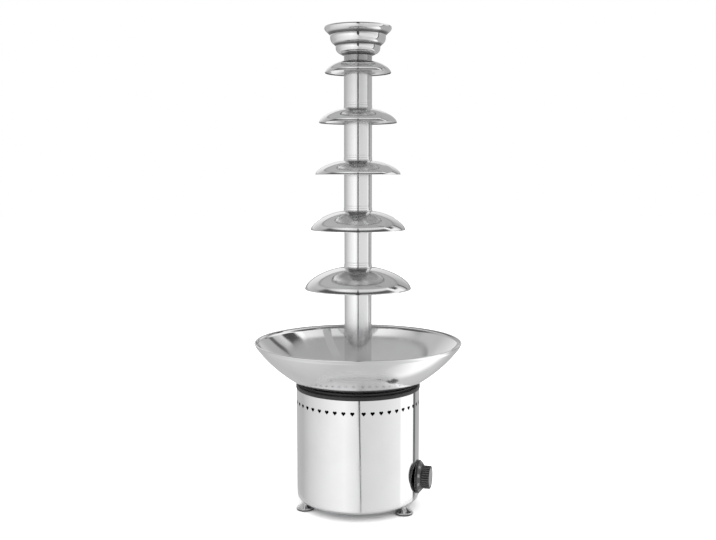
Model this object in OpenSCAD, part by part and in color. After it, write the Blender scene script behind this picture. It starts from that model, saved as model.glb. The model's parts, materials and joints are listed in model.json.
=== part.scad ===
// Chocolate fountain with a heated bowl, a sectional tower of five domes and an auger that lifts the
// chocolate to a stepped crown. Millimetres, +Z up, floor at z = 0, tower axis on Z, front towards -Y.

/* [Base can] */
// Outer radius of the base can
base_r = 119.5; // [114:0.5:125]
// Sheet thickness of the base can
base_wall = 1; // [0.8:0.1:1.4]
// Height of the can's top edge above the floor
base_top_z = 231; // [225:1:245]
// Gap between the floor and the can
base_gap = 14; // [13:0.5:16]
// Radius of the can's rounded bottom edge
base_edge_r = 5; // [4:0.5:6]
// Width of the can's inward flange at the top
top_flange_w = 19.5; // [17:0.5:22]
// Radius of the service opening in the can's bottom
service_r = 92; // [88:1:94]
// Number of vent hearts round the can
vent_count = 45; // [33:2:47]
// Angle between the two hearts beside the plain front
vent_front_gap = 10; // [8:0.5:16]
// Width of one vent heart
vent_w = 8.2; // [6:0.2:9]
// Height of one vent heart
vent_h = 7.8; // [5:0.1:8.5]
// Distance of the vent row below the can's top edge
vent_drop = 25; // [20:1:30]

/* [Bottom cover and feet] */
// Thickness of the bottom cover
cover_t = 1.2; // [1:0.1:1.6]
// Overlap of the bottom cover under the can
cover_lap = 8; // [7:0.5:9]
// Number of bottom cover screws
cover_screw_count = 6; // [4:1:8]
// Radius of a foot disc
foot_r = 15; // [12:0.5:16]
// Radius of a foot's threaded stud
foot_stud_r = 3; // [2.5:0.5:3.5]
// Radius of the threaded insert that takes the stud
foot_insert_r = 4.5; // [4.2:0.1:5]
// Height of the threaded insert
foot_insert_h = 10; // [8:1:12]
// Levelling travel of a foot
foot_travel = 8; // [5:1:9]
// Bearing of the first foot from +X
foot_bearing = 202.5; // [195:0.5:210]

/* [Support ring and bowl] */
// Height of the ring between the can and the bowl
ring_h = 12; // [10:0.5:15]
// Radial width of the ring
ring_w = 16.5; // [14:0.5:18]
// How far the ring stands proud of the can
ring_proud = 1; // [0.5:0.1:1.5]
// Depth of the dark groove between the ring's bead and the bowl
ring_recess = 5; // [3:0.5:7]
// Outer radius of the bowl at its rim
bowl_r = 200; // [190:1:210]
// Height of the bowl
bowl_h = 79; // [72:1:86]
// Sheet thickness of the bowl
bowl_t = 1; // [0.8:0.1:1.4]
// Radius of the bowl's flat bottom
bowl_floor_r = 118; // [115:0.5:119]
// Radius at which the bowl's wall bends most
bowl_bend_r = 165.5; // [160:0.5:172]
// Height of that bend above the bottom
bowl_bend_h = 28; // [24:1:32]
// Radius of the rolled bead on the rim
bead_r = 2; // [1.5:0.1:2.5]
// Height of the sealed hub above the bowl's bottom
hub_h = 18; // [14:1:22]
// Outer radius of the hub
hub_r = 14; // [12:0.5:16]
// Radius of the bowl's fixing studs
bowl_stud_r = 3; // [2.5:0.5:3.5]
// Radius of a peg that centres the tower
peg_r = 2; // [1.5:0.1:2.2]
// Height of a centring peg
peg_h = 8; // [6:1:10]

/* [Tower] */
// Outer radius of the tower tubes
tube_r = 26.5; // [26:0.1:28]
// Wall of the tower tubes
tube_wall = 1; // [0.8:0.1:1.2]
// Length of the spigot on top of each tube
spigot_len = 14; // [11:1:16]
// How far the lip at the foot of each tube stands out
lip_proud = 0.8; // [0.4:0.1:1.2]
// Height of the collar at the foot of each tube
lip_h = 6.5; // [3:0.5:9]
// Length of tube 1, from the bowl to the lowest dome
tube_1_len = 219.5; // [200:0.5:240]
// Length of tube 2
tube_2_len = 107; // [95:0.5:120]
// Length of tube 3
tube_3_len = 94.5; // [85:0.5:110]
// Length of tube 4
tube_4_len = 96.5; // [85:0.5:110]
// Length of tube 5
tube_5_len = 87.5; // [80:0.5:100]
// Width of an intake notch at the foot of tube 1
intake_w = 18; // [14:1:20]
// Height of an intake notch
intake_h = 15; // [12:1:20]

/* [Domes] */
// Sheet thickness of the domes
dome_t = 1; // [0.8:0.1:1.2]
// Width of the flat land round a dome's hole
dome_land_w = 3.5; // [2.5:0.1:5]
// Power of a dome's curve near its crown
dome_crown_power = 1.45; // [1.2:0.05:2]
// Power of a dome's curve near its rim
dome_edge_power = 0.6; // [0.5:0.05:0.8]
// Rim radius of dome 1, the lowest
dome_1_r = 102.2; // [90:0.1:115]
// Height of dome 1
dome_1_h = 40.5; // [30:0.5:50]
// Rim radius of dome 2
dome_2_r = 90.8; // [80:0.1:100]
// Height of dome 2
dome_2_h = 35; // [25:0.5:45]
// Rim radius of dome 3
dome_3_r = 81; // [70:0.1:90]
// Height of dome 3
dome_3_h = 25; // [20:0.5:35]
// Rim radius of dome 4
dome_4_r = 73.8; // [62:0.1:80]
// Height of dome 4
dome_4_h = 25.3; // [20:0.1:30]
// Rim radius of dome 5, the highest
dome_5_r = 62.5; // [52:0.1:70]
// Height of dome 5
dome_5_h = 21; // [15:0.5:25]

/* [Crown] */
// Sheet thickness of the crown
crown_t = 1; // [0.8:0.1:1.2]
// Height of the crown's neck
crown_neck_h = 11; // [9:0.5:14]
// Radius of the lowest step's shoulder, where its underside turns into its wall
step_1_shoulder_r = 39; // [36:0.5:40]
// Rise of the lowest step's underside
step_1_rise = 5.4; // [4:0.1:7]
// Top radius of the lowest step
step_1_top_r = 42.1; // [40.5:0.1:43]
// Height of the lowest step
step_1_h = 17.5; // [12:0.5:20]
// Shoulder radius of the middle step
step_2_shoulder_r = 50.2; // [46.5:0.1:51]
// Rise of the middle step's underside
step_2_rise = 7.2; // [5:0.1:9]
// Top radius of the middle step
step_2_top_r = 52.6; // [51.5:0.1:54]
// Height of the middle step
step_2_h = 20.2; // [16:0.1:26]
// Shoulder radius of the top step
step_3_shoulder_r = 62; // [58:0.1:62.5]
// Rise of the top step's underside
step_3_rise = 8.4; // [6:0.1:10]
// Top radius of the top step
step_3_top_r = 63.4; // [63:0.1:68]
// Height of the top step
step_3_h = 14.3; // [12:0.1:18]

/* [Auger and drive] */
// Radius of the auger's core
auger_core_r = 9; // [8:0.5:11]
// Gap between the auger's flight and the narrowest bore of the tower
auger_gap = 0.8; // [0.5:0.1:1.5]
// Rise of the flight in one turn
auger_pitch = 48; // [36:1:60]
// Thickness of the flight, measured upwards
flight_t = 2.6; // [2:0.1:4]
// Radius of the drive shaft
shaft_r = 5; // [4.5:0.5:5.5]
// Radius of the cross pin that turns the auger
drive_pin_r = 2; // [1.5:0.1:2.2]

/* [Gear train] */
// Module of the gears
gear_module = 1.25; // [1.2:0.05:1.3]
// Teeth of both small gears
pinion_teeth = 14; // [13:1:15]
// Teeth of both large gears
wheel_teeth = 56; // [54:1:58]
// Pressure angle of the teeth
pressure_angle = 25; // [24:1:26]
// Face width of the motor's gear pair
pair_1_w = 8; // [7:0.5:9]
// Face width of the output gear pair
pair_2_w = 10; // [8:0.5:11]
// Wall of the gearbox
gearbox_wall = 3; // [2.5:0.5:4]
// Radius of the idler's pin
idler_pin_r = 3; // [2.5:0.5:3.5]

/* [Motor] */
// Outer radius of the stator
stator_r = 36; // [34:0.5:37]
// Height of the stator
stator_h = 40; // [34:1:46]
// Radius of the rotor
rotor_r = 22; // [20:0.5:23]
// Radius of the rotor's shaft
rotor_shaft_r = 3; // [2.5:0.5:3.5]
// Radius of the motor's tie screws
tie_screw_r = 2; // [1.5:0.1:2.2]
// Height of the motor's end bells, where the coils turn
bell_h = 13; // [11:1:15]

/* [Heater] */
// Thickness of the heat spreader
spreader_t = 3; // [2:0.5:3.5]
// Ring radius of the heating element
element_ring_r = 62; // [58:1:68]
// Tube radius of the heating element
element_r = 3.5; // [3:0.1:3.6]
// Thickness of the mounting plate
plate_t = 2.5; // [2:0.5:3]
// Radius of the thermostat's sensing bulb
bulb_r = 3; // [2.5:0.1:3.5]
// Length of the sensing bulb
bulb_len = 50; // [40:1:60]

/* [Controls] */
// Height of the controls above the floor
control_z = 61; // [56:1:70]
// Bearing of the thermostat knob from +X
knob_bearing = -15; // [-20:1:-10]
// Radius of the knob's skirt
knob_skirt_r = 32; // [28:0.5:34]
// Radius of the knob's grip
knob_grip_r = 22; // [19:0.5:24]
// Length of the knob
knob_len = 24.5; // [22:0.5:28]
// Number of flutes round the grip
flute_count = 30; // [20:1:36]
// Radius of the thermostat's spindle
spindle_r = 3; // [2.5:0.5:3.5]
// Bearing of the motor switch from +X
switch_bearing = 25; // [20:1:32]
// Width of the switch's body
switch_w = 15; // [13:0.5:17]
// Height of the switch's body
switch_h = 21; // [19:0.5:23]
// Tilt of the rocker either side of its middle
rocker_tilt = 10; // [8:1:12]

/* [Cable gland] */
// Bearing of the gland from +X
gland_bearing = 90; // [80:1:100]
// Height of the gland above the floor
gland_z = 50; // [48:1:60]
// Radius of the gland's thread
gland_thread_r = 8; // [7:0.5:9]
// Radius of the gland's cord bore
gland_bore_r = 4; // [3.5:0.1:4.5]

/* [Fits] */
// Gap all round between parts that slide
slide_gap = 0.1; // [0.05:0.05:0.2]
// Gap all round between a shaft and its bearing
run_gap = 0.05; // [0.02:0.01:0.1]
// Gap all round between fixed parts that fit together
seat_gap = 0.05; // [0.02:0.01:0.1]
// Gap that leaves moving parts free of what they pass
free_gap = 0.5; // [0.3:0.1:0.8]
// Play between meshing gear teeth
backlash = 0.2; // [0.1:0.05:0.3]

/* [Hidden] */
$fn = 96;

// Levels, from the floor upwards
floor_in_z = base_gap + base_wall;
seat_z = base_top_z + ring_h;
bowl_in_z = seat_z + bowl_t;
rim_z = seat_z + bowl_h;
shoulder_1_z = bowl_in_z + tube_1_len;
shoulder_2_z = shoulder_1_z + dome_t + tube_2_len;
shoulder_3_z = shoulder_2_z + dome_t + tube_3_len;
shoulder_4_z = shoulder_3_z + dome_t + tube_4_len;
shoulder_5_z = shoulder_4_z + dome_t + tube_5_len;
crown_z = shoulder_5_z + dome_t;

// Fits along the tower
tube_bore_r = tube_r - tube_wall;
spigot_r = tube_bore_r - slide_gap;
spigot_bore_r = spigot_r - tube_wall;
lip_r = tube_r + lip_proud;
tube_collar_r = tube_r + lip_proud / 2;
lip_foot_h = 1.5;
dome_land_r = lip_r + dome_land_w - 1.5;
auger_r = spigot_bore_r - auger_gap;

// Top of the base: the flange, the plate clamped under it and the fixings
flange_in_r = base_r - top_flange_w;
clamp_lap = 8;
plate_r = flange_in_r + clamp_lap;
plate_top_z = base_top_z - base_wall;
plate_z = plate_top_z - plate_t;
stud_pitch_r = flange_in_r - bowl_stud_r - 3;
stud_count = 4;
stud_bearing = 45;
nut_h = 5;
nut_r = bowl_stud_r * 1.85;
stud_tail = 3;

// Feet and bottom cover
foot_pitch_r = base_r - base_edge_r - foot_insert_r;
foot_neck_r = foot_stud_r + 1.6;
cover_r = service_r + cover_lap;
cover_screw_r = 1.75;
cover_screw_pitch_r = service_r + cover_lap / 2;
cover_head_r = 3.5;
cover_head_h = 2;

// Heater under the bowl
spreader_z = seat_z - spreader_t;
spreader_r = stud_pitch_r - bowl_stud_r - 3;
spreader_hole_r = shaft_r + 19;
element_z = spreader_z - element_r - seat_gap;
element_gap_angle = 24;
terminal_bearing = -90;
sleeve_r = element_r + 2;
sleeve_tail = 4;
terminal_r = 1.6;
terminal_tail = 10;
strap_bearings = [70, 190, 310];
strap_t = 1;
strap_w = 10;
strap_leg = 6;
cutout_r = 8;
cutout_h = 6;
cutout_place = [-35, -30];
bulb_bearing = -45;
bulb_pitch_r = 40;
bulb_z = spreader_z - bulb_r - seat_gap;
grommet_place = [70.5, -25.7];
grommet_r = 5;

// Gear train, with the motor under the output shaft and one idler beside them
gear_centres = gear_module * (pinion_teeth + wheel_teeth) / 2;
wheel_tip_r = gear_module * (wheel_teeth + 2) / 2;
lid_t = 4;
case_in_r = wheel_tip_r + 2.25;
case_r = case_in_r + gearbox_wall;
idler_bearing = 90;
lid_z = plate_z - lid_t;
hub_collar_h = 2;
bush_wall = 2;
boss_wall = 4;
bush_drop = 4.5;
output_top_z = lid_z - bush_drop - slide_gap - hub_collar_h;
output_z = output_top_z - pair_2_w;
pair_step = 3;
pair_1_z = output_z - pair_step - pair_1_w;
idler_top_z = output_top_z + 1;
thrust_boss_h = 3;
case_floor_z = pair_1_z - slide_gap - thrust_boss_h;
case_z = case_floor_z - gearbox_wall;
ear_r = 5.5;
ear_x = case_r + ear_r - 1;
gearbox_screw_r = 2;
gearbox_head_h = 2.4;
gearbox_screw_len = 26;
shaft_foot_z = output_z - 0.5;
collar_r = shaft_r + 3;
collar_h = 4;

// Hub in the bowl's floor
hub_top_z = seat_z + hub_h;
hub_flange_r = hub_r + 4;
hub_flange_h = 2.5;
hub_tail = 6;
hub_tail_r = hub_r - 2;
hub_bush_r = shaft_r + 3;
seal_r = shaft_r + 5;
seal_h = 6;

// Auger
auger_foot_z = hub_top_z + 6;
drive_pin_z = auger_foot_z + 16;
shaft_top_z = drive_pin_z + 11;
drive_pin_len = 2 * auger_core_r - 1;
flight_foot_z = auger_foot_z + 3;
flight_top_z = crown_z + crown_neck_h - 4;
auger_nose_z = flight_top_z + 8;
nose_h = 6;
flight_steps_per_turn = 24;
flight_half_angle = 180 * flight_t / auger_pitch;

// Motor
air_gap = 0.6;
stator_bore_r = rotor_r + air_gap;
bell_t = 3;
bell_rim_w = 1.6;
tie_pitch_r = stator_r + tie_screw_r + 1;
bell_r = tie_pitch_r + 3;
bell_top_z = case_z;
stator_top_z = bell_top_z - bell_h;
stator_z = stator_top_z - stator_h;
bell_foot_z = stator_z - bell_h;
tie_head_h = 3;
coil_gap = 1;
rotor_rest = 1.5;
rotor_tail = 2;

// Controls on the can's wall
wall_in_r = base_r - base_wall;
wall_cut = 2 * top_flange_w;
knob_gap = 1;
knob_rim_w = 3;
knob_cone_w = 6;
skirt_top_r = knob_grip_r + 2.5;
knob_wall = 2;
knob_hub_r = spindle_r + 3;
cap_t = 1.2;
cap_r = knob_grip_r - 4;
flute_r = 1.2;
spindle_hole_r = spindle_r + 3;
bracket_t = 2;
bracket_w = 44;
bracket_h = 46;
bracket_face_r = wall_in_r - 10.5;
thermostat_w = 34;
thermostat_depth = 26;
spindle_depth = 10;
switch_depth = 18;
switch_wall = 1.1;
bezel_lap = 2;
bezel_t = 2;
rocker_depth = 8;
rocker_pin_r = 1.2;
pivot_r = base_r + 0.5;

// Cable gland
gland_flange_r = gland_thread_r + 3;
gland_flange_t = 6;
gland_tail = 14;
gland_nut_len = 14;
locknut_t = 5;

// Terminal block on the bottom cover
block_size = [44, 16, 16];
block_place = [0, 62];
block_ways = 4;

// Leads inside the base, each a run of points chosen by hand
lead_r = 1.2;
lead_sides = 8;
lead_steps = 4;
lead_up = [0.35, 0.55, 0.76];
lead_lift = 0.3;
block_top_z = base_gap + block_size.z + lead_lift;
terminal_foot_z = element_z - element_r - sleeve_tail - terminal_tail - lead_lift;
thermostat_back_r = bracket_face_r - thermostat_depth - lead_lift;
switch_back_r = base_r - switch_depth - lead_lift;
stator_lead_z = stator_z + stator_h / 2;
terminal_x = element_ring_r * sin(element_gap_angle / 2);
terminal_y = -element_ring_r * cos(element_gap_angle / 2);
lead_routes = [
    [
        [-12, 62, block_top_z], [-8, 60, 44], [20, 40, 50], [50, 6, control_z - 6],
        wall_point(knob_bearing, thermostat_back_r - 8, -4), wall_point(knob_bearing, thermostat_back_r, -4)
    ],
    [
        [12, 62, block_top_z], [14, 60, 44], [40, 50, 54], [66, 38, control_z - 5],
        wall_point(switch_bearing, switch_back_r - 8, -4), wall_point(switch_bearing, switch_back_r, -4)
    ],
    [
        wall_point(knob_bearing, thermostat_back_r, 8), wall_point(knob_bearing, thermostat_back_r - 8, 9),
        [40, -50, 100], [18, -66, 160], [terminal_x, terminal_y, terminal_foot_z - 9],
        [terminal_x, terminal_y, terminal_foot_z]
    ],
    [
        [-18, 62, block_top_z], [-30, 56, 46], [-62, 10, 90], [-56, -36, 140],
        [-terminal_x - 3, terminal_y - 2, terminal_foot_z - 20],
        [-terminal_x, terminal_y, terminal_foot_z - 9], [-terminal_x, terminal_y, terminal_foot_z]
    ],
    [
        wall_point(switch_bearing, switch_back_r, 6), wall_point(switch_bearing, switch_back_r - 8, 8),
        [66, 28, 95], [56, 22, stator_lead_z - 22], [48, 17, stator_lead_z - 4], stator_point(20)
    ],
    [
        [20, 62, block_top_z], [22, 70, 60], [12, 64, 100], [7, 54, stator_lead_z - 20],
        [6, 46, stator_lead_z - 3], stator_point(82)
    ]
];
capillary_r = 0.9;
capillary_route = [
    [45.6, -11, bulb_z], [49.5, -8.5, bulb_z - 2], [54, -11.5, plate_top_z + 1.7],
    [62, -18.5, plate_top_z + 1.5], [68.5, -23.8, plate_top_z], [70.5, -25.7, plate_z - 4],
    [72, -27, 190], [78, -28, 130], [86, -25, 95],
    wall_point(knob_bearing, bracket_face_r - 14, thermostat_w / 2 + lead_lift)
];

steel = "#C9CACB";
dark_steel = "#8C8F93";
black = "#202123";
copper = "#B06A3C";
aluminium = "#B9BCC0";
nylon = "#E6E2D6";
brass = "#B99B57";

// Plain geometry helpers
function unit(v) = v / norm(v);
function turned_left(v) = [-v.y, v.x];
function polar(r, bearing) = [r * cos(bearing), r * sin(bearing)];
function wall_point(bearing, r, rise) = concat(polar(r, bearing), [control_z + rise]);
function stator_point(bearing) = concat(polar(stator_r + lead_lift, bearing), [stator_lead_z]);

// Mitred normal of an open path at one of its points
function path_normal(path, i) =
    let (
        last = len(path) - 1,
        before = unit(turned_left(path[max(i, 1)] - path[max(i, 1) - 1])),
        after = unit(turned_left(path[min(i, last - 1) + 1] - path[min(i, last - 1)])),
        middle = unit(before + after)
    )
    middle / (middle * before);

// Closed outline of a sheet that has the path as one face and lies to the left of it
function sheet_outline(path, t) =
    concat(path, [for (i = [len(path) - 1:-1:0]) path[i] + t * path_normal(path, i)]);

function arc(centre, r, from, to, steps) =
    [for (i = [0:steps]) centre + polar(r, from + (to - from) * i / steps)];

// Quadratic curve from a to c that leans towards b
function bend(a, b, c, steps) =
    [for (i = [1:steps]) let (t = i / steps) (1 - t) * (1 - t) * a + 2 * t * (1 - t) * b + t * t * c];

module revolve() {
    rotate_extrude() children();
}

module ring(outer_r, inner_r, z, h) {
    translate([0, 0, z]) difference() {
        cylinder(r = outer_r, h = h);
        translate([0, 0, -1]) cylinder(r = inner_r, h = h + 2);
    }
}

module rod(r, z, h) {
    translate([0, 0, z]) cylinder(r = r, h = h);
}

module spread(count, r, start = 0) {
    for (i = [0:count - 1]) rotate([0, 0, start + 360 * i / count]) translate([r, 0, 0]) children();
}

// Local frame on the can's wall: x along the wall, y up, z outwards from the tower's axis
module on_wall(bearing, z) {
    rotate([0, 0, bearing]) translate([0, 0, z]) rotate([90, 0, 90]) children();
}

module idler_place() {
    translate(polar(gear_centres, idler_bearing)) children();
}

// Involute gear teeth
function involute(angle) = tan(angle) * 180 / PI - angle;

function tooth_half_angle(teeth, r) =
    let (
        pitch_r = gear_module * teeth / 2,
        base = pitch_r * cos(pressure_angle),
        at_pitch = 90 / teeth - backlash * 45 / (PI * pitch_r)
    )
    at_pitch + involute(pressure_angle) - involute(acos(min(1, base / r)));

function gear_outline(teeth) =
    let (
        pitch_r = gear_module * teeth / 2,
        root_r = pitch_r - 1.25 * gear_module,
        tip_r = pitch_r + gear_module,
        base = pitch_r * cos(pressure_angle),
        flank_r = max(base, root_r),
        flank = [for (i = [0:4]) flank_r + (tip_r - flank_r) * i / 4]
    )
    [for (n = [0:teeth - 1]) let (middle = 360 * n / teeth) each concat(
        root_r < base ? [polar(root_r, middle - tooth_half_angle(teeth, base))] : [],
        [for (r = flank) polar(r, middle - tooth_half_angle(teeth, r))],
        [for (i = [4:-1:0]) polar(flank[i], middle + tooth_half_angle(teeth, flank[i]))],
        root_r < base ? [polar(root_r, middle + tooth_half_angle(teeth, base))] : []
    )];

// Gear blank with its first tooth centred on the given bearing
module gear(teeth, w, bearing) {
    rotate([0, 0, bearing]) linear_extrude(w) polygon(gear_outline(teeth));
}

// Round lead swept along a smooth curve through its points
function curve_point(p, i, t) =
    let (
        a = p[max(i - 1, 0)],
        b = p[i],
        c = p[i + 1],
        d = p[min(i + 2, len(p) - 1)]
    )
    0.5 * (2 * b + (c - a) * t + (2 * a - 5 * b + 4 * c - d) * t * t + (3 * b - a - 3 * c + d) * t * t * t);

function curve(p, steps) =
    concat([for (i = [0:len(p) - 2], s = [0:steps - 1]) curve_point(p, i, s / steps)], [p[len(p) - 1]]);

function lead_ring(path, i, r) =
    let (
        along = unit(path[min(i + 1, len(path) - 1)] - path[max(i - 1, 0)]),
        side = unit(cross(lead_up, along)),
        up = cross(along, side)
    )
    [for (k = [0:lead_sides - 1])
        let (turn = 360 * k / lead_sides)
        path[i] + r * (cos(turn) * side + sin(turn) * up)];

module lead(points, r) {
    path = curve(points, lead_steps);
    rings = len(path);
    n = lead_sides;
    sides = [for (i = [0:rings - 2], k = [0:n - 1]) each [
        [i * n + k, (i + 1) * n + k, i * n + (k + 1) % n],
        [i * n + (k + 1) % n, (i + 1) * n + k, (i + 1) * n + (k + 1) % n]
    ]];
    first = [for (k = [1:n - 2]) [0, k, k + 1]];
    last = [for (k = [1:n - 2]) let (s = (rings - 1) * n) [s, s + k + 1, s + k]];
    polyhedron([for (i = [0:rings - 1]) each lead_ring(path, i, r)], concat(sides, first, last));
}

// Heart with its point downwards, centred on its own height
module vent_heart() {
    lobe_r = vent_w * 0.28;
    lobe_x = vent_w / 2 - lobe_r;
    lobe_y = vent_h / 2 - lobe_r;
    shoulder = polar(lobe_r * 0.98, -38);
    for (side = [-1, 1]) translate([side * lobe_x, lobe_y, 0])
        cylinder(r = lobe_r, h = wall_cut, $fn = 24);
    linear_extrude(wall_cut) polygon([
        [0, -vent_h / 2], [lobe_x + shoulder.x, lobe_y + shoulder.y], [lobe_x, lobe_y],
        [-lobe_x, lobe_y], [-lobe_x - shoulder.x, lobe_y + shoulder.y]
    ]);
}

// Base can with its vents, control holes and welded inserts for the feet
module base_shell() {
    edge_centre = [base_r - base_edge_r, base_gap + base_edge_r];
    vent_step = (360 - vent_front_gap) / (vent_count - 1);
    path = concat(
        [[service_r, base_gap]],
        arc(edge_centre, base_edge_r, -90, 0, 8),
        [[base_r, base_top_z], [flange_in_r, base_top_z]]
    );
    color(steel) {
        difference() {
            revolve() polygon(sheet_outline(path, base_wall));
            for (i = [0:vent_count - 1])
                on_wall(-90 + vent_front_gap / 2 + vent_step * i, base_top_z - vent_drop)
                    translate([0, 0, flange_in_r]) vent_heart();
            on_wall(knob_bearing, control_z) rod(spindle_hole_r, bracket_face_r, wall_cut);
            on_wall(switch_bearing, control_z) switch_block(seat_gap, bracket_face_r, wall_cut);
            on_wall(gland_bearing, gland_z) rod(gland_thread_r + seat_gap, bracket_face_r, wall_cut);
            spread(3, foot_pitch_r, foot_bearing) rod(foot_stud_r + slide_gap, base_gap - 1, base_wall + 2);
            spread(cover_screw_count, cover_screw_pitch_r)
                rod(cover_screw_r + seat_gap, base_gap - 1, base_wall + 2);
        }
        spread(3, foot_pitch_r, foot_bearing)
            ring(foot_insert_r, foot_stud_r + slide_gap, floor_in_z, foot_insert_h);
    }
}

module bottom_cover() {
    slot_w = 3;
    slot_in_r = 22;
    slot_out_r = 42;
    color(dark_steel) difference() {
        rod(cover_r, base_gap - cover_t, cover_t);
        spread(cover_screw_count, cover_screw_pitch_r)
            rod(cover_screw_r + seat_gap, base_gap - 2 * cover_t, 3 * cover_t);
        spread(12, slot_in_r, 15) translate([0, -slot_w / 2, base_gap - 2 * cover_t])
            cube([slot_out_r - slot_in_r, slot_w, 3 * cover_t]);
    }
}

module cover_screws() {
    color(dark_steel) spread(cover_screw_count, cover_screw_pitch_r) {
        rod(cover_screw_r, base_gap - cover_t, cover_t + base_wall + 4);
        rod(cover_head_r, base_gap - cover_t - cover_head_h, cover_head_h);
    }
}

// Turned foot: low cone, neck that stops under the can, and a stud long enough for the whole travel
module levelling_foot(i) {
    stud_top_z = floor_in_z + foot_insert_h + foot_travel + 2;
    neck_top_z = base_gap - slide_gap;
    bearing = foot_bearing + 120 * (i - 1);
    color(steel) translate(polar(foot_pitch_r, bearing)) revolve() polygon([
        [0, 0], [foot_r - 0.8, 0], [foot_r, 0.8], [foot_r, 2.4], [foot_r - 1, 3.2], [foot_neck_r + 3, 7],
        [foot_neck_r + 0.8, 8.6], [foot_neck_r, 10], [foot_neck_r, neck_top_z], [foot_stud_r, neck_top_z],
        [foot_stud_r, stud_top_z - 0.8], [foot_stud_r - 0.8, stud_top_z], [0, stud_top_z]
    ]);
}

// Moulded ring: a proud bead below, a recessed neck above
module support_ring() {
    bead_out_r = base_r + ring_proud;
    in_r = base_r - ring_w;
    neck_r = base_r - ring_recess;
    color(black) revolve() polygon([
        [in_r, base_top_z], [bead_out_r - 0.7, base_top_z], [bead_out_r, base_top_z + 0.7],
        [bead_out_r, base_top_z + ring_h * 0.5], [bead_out_r - 0.6, base_top_z + ring_h * 0.58],
        [bead_out_r - 1.8, base_top_z + ring_h * 0.62], [neck_r, base_top_z + ring_h * 0.62],
        [neck_r, seat_z], [in_r, seat_z]
    ]);
}

// Spun bowl with a rolled rim, welded studs below and three pegs that centre the tower
module bowl() {
    wall_top = [bowl_r - bead_r - 0.6, rim_z - bead_r - 5.7];
    path = concat(
        [[hub_tail_r + seat_gap, seat_z], [bowl_floor_r, seat_z]],
        bend([bowl_floor_r, seat_z], [bowl_bend_r, seat_z + bowl_bend_h], wall_top, 14),
        [[bowl_r - bead_r + 0.2, rim_z - bead_r]]
    );
    weld_z = seat_z + bowl_t / 2;
    stud_foot_z = plate_z - nut_h - stud_tail;
    color(steel) {
        revolve() polygon(sheet_outline(path, bowl_t));
        revolve() translate([bowl_r - bead_r, rim_z - bead_r]) circle(r = bead_r, $fn = 32);
        spread(stud_count, stud_pitch_r, stud_bearing) rod(bowl_stud_r, stud_foot_z, weld_z - stud_foot_z);
        spread(3, tube_bore_r - peg_r - free_gap, 90) rod(peg_r, weld_z, peg_h + bowl_t / 2);
    }
}

module stud_nuts() {
    color(dark_steel) spread(stud_count, stud_pitch_r, stud_bearing) difference() {
        translate([0, 0, plate_z - nut_h]) cylinder(r = nut_r, h = nut_h, $fn = 6);
        rod(bowl_stud_r + seat_gap, plate_z - nut_h - 1, nut_h + 2);
    }
}

// Hub that carries the drive shaft through the bowl's floor
module bowl_hub() {
    bush_bore_r = hub_bush_r + seat_gap;
    seal_z = hub_top_z - seal_h;
    color(steel) revolve() polygon([
        [bush_bore_r, seat_z - hub_tail], [hub_tail_r, seat_z - hub_tail], [hub_tail_r, bowl_in_z],
        [hub_flange_r, bowl_in_z], [hub_flange_r, bowl_in_z + hub_flange_h],
        [hub_r, bowl_in_z + hub_flange_h], [hub_r, hub_top_z - 1], [hub_r - 1, hub_top_z],
        [seal_r + seat_gap, hub_top_z], [seal_r + seat_gap, seal_z], [bush_bore_r, seal_z]
    ]);
}

module shaft_bush() {
    color(brass) ring(hub_bush_r, shaft_r + run_gap, seat_z - hub_tail, hub_h + hub_tail - seal_h);
}

module shaft_seal() {
    color(black) ring(seal_r, shaft_r + run_gap, hub_top_z - seal_h, seal_h);
}

// One tower section: plain lip at the foot, shoulder for the dome and a spigot for the next section
module tube_section(z, length) {
    spigot_top = length + spigot_len;
    color(steel) translate([0, 0, z]) revolve() polygon([
        [tube_bore_r, 0], [lip_r, 0], [lip_r, lip_foot_h], [tube_collar_r, lip_h], [tube_r, lip_h + 0.4],
        [tube_r, length],
        [spigot_r, length], [spigot_r, spigot_top - 1], [spigot_r - 0.4, spigot_top],
        [spigot_bore_r, spigot_top], [spigot_bore_r, length - 2], [tube_bore_r, length - 4]
    ]);
}

// Lowest section, notched at its foot where the chocolate is drawn in
module tower_tube_1() {
    difference() {
        tube_section(bowl_in_z, tube_1_len);
        for (bearing = [30:120:270]) on_wall(bearing, bowl_in_z) {
            translate([0, intake_h - intake_w / 2, 0]) cylinder(r = intake_w / 2, h = 2 * tube_r, $fn = 48);
            translate([-intake_w / 2, -1, 0]) cube([intake_w, intake_h - intake_w / 2 + 1, 2 * tube_r]);
        }
    }
}

module tower_tube_2() {
    tube_section(shoulder_1_z + dome_t, tube_2_len);
}

module tower_tube_3() {
    tube_section(shoulder_2_z + dome_t, tube_3_len);
}

module tower_tube_4() {
    tube_section(shoulder_3_z + dome_t, tube_4_len);
}

module tower_tube_5() {
    tube_section(shoulder_4_z + dome_t, tube_5_len);
}

// Pressed dome: a flat land round the hole, then a curve that steepens to the rim
module dome(shoulder_z, rim_r, h) {
    steps = 16;
    top_z = shoulder_z + dome_t;
    path = concat(
        [[tube_bore_r, top_z]],
        [for (i = [0:steps])
            let (t = sin(90 * i / steps))
            [dome_land_r + (rim_r - dome_land_r) * t,
             top_z - h + h * pow(1 - pow(t, dome_crown_power), dome_edge_power)]]
    );
    color(steel) revolve() polygon(sheet_outline(path, -dome_t));
}

module dome_1() {
    dome(shoulder_1_z, dome_1_r, dome_1_h);
}

module dome_2() {
    dome(shoulder_2_z, dome_2_r, dome_2_h);
}

module dome_3() {
    dome(shoulder_3_z, dome_3_r, dome_3_h);
}

module dome_4() {
    dome(shoulder_4_z, dome_4_r, dome_4_h);
}

module dome_5() {
    dome(shoulder_5_z, dome_5_r, dome_5_h);
}

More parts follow.
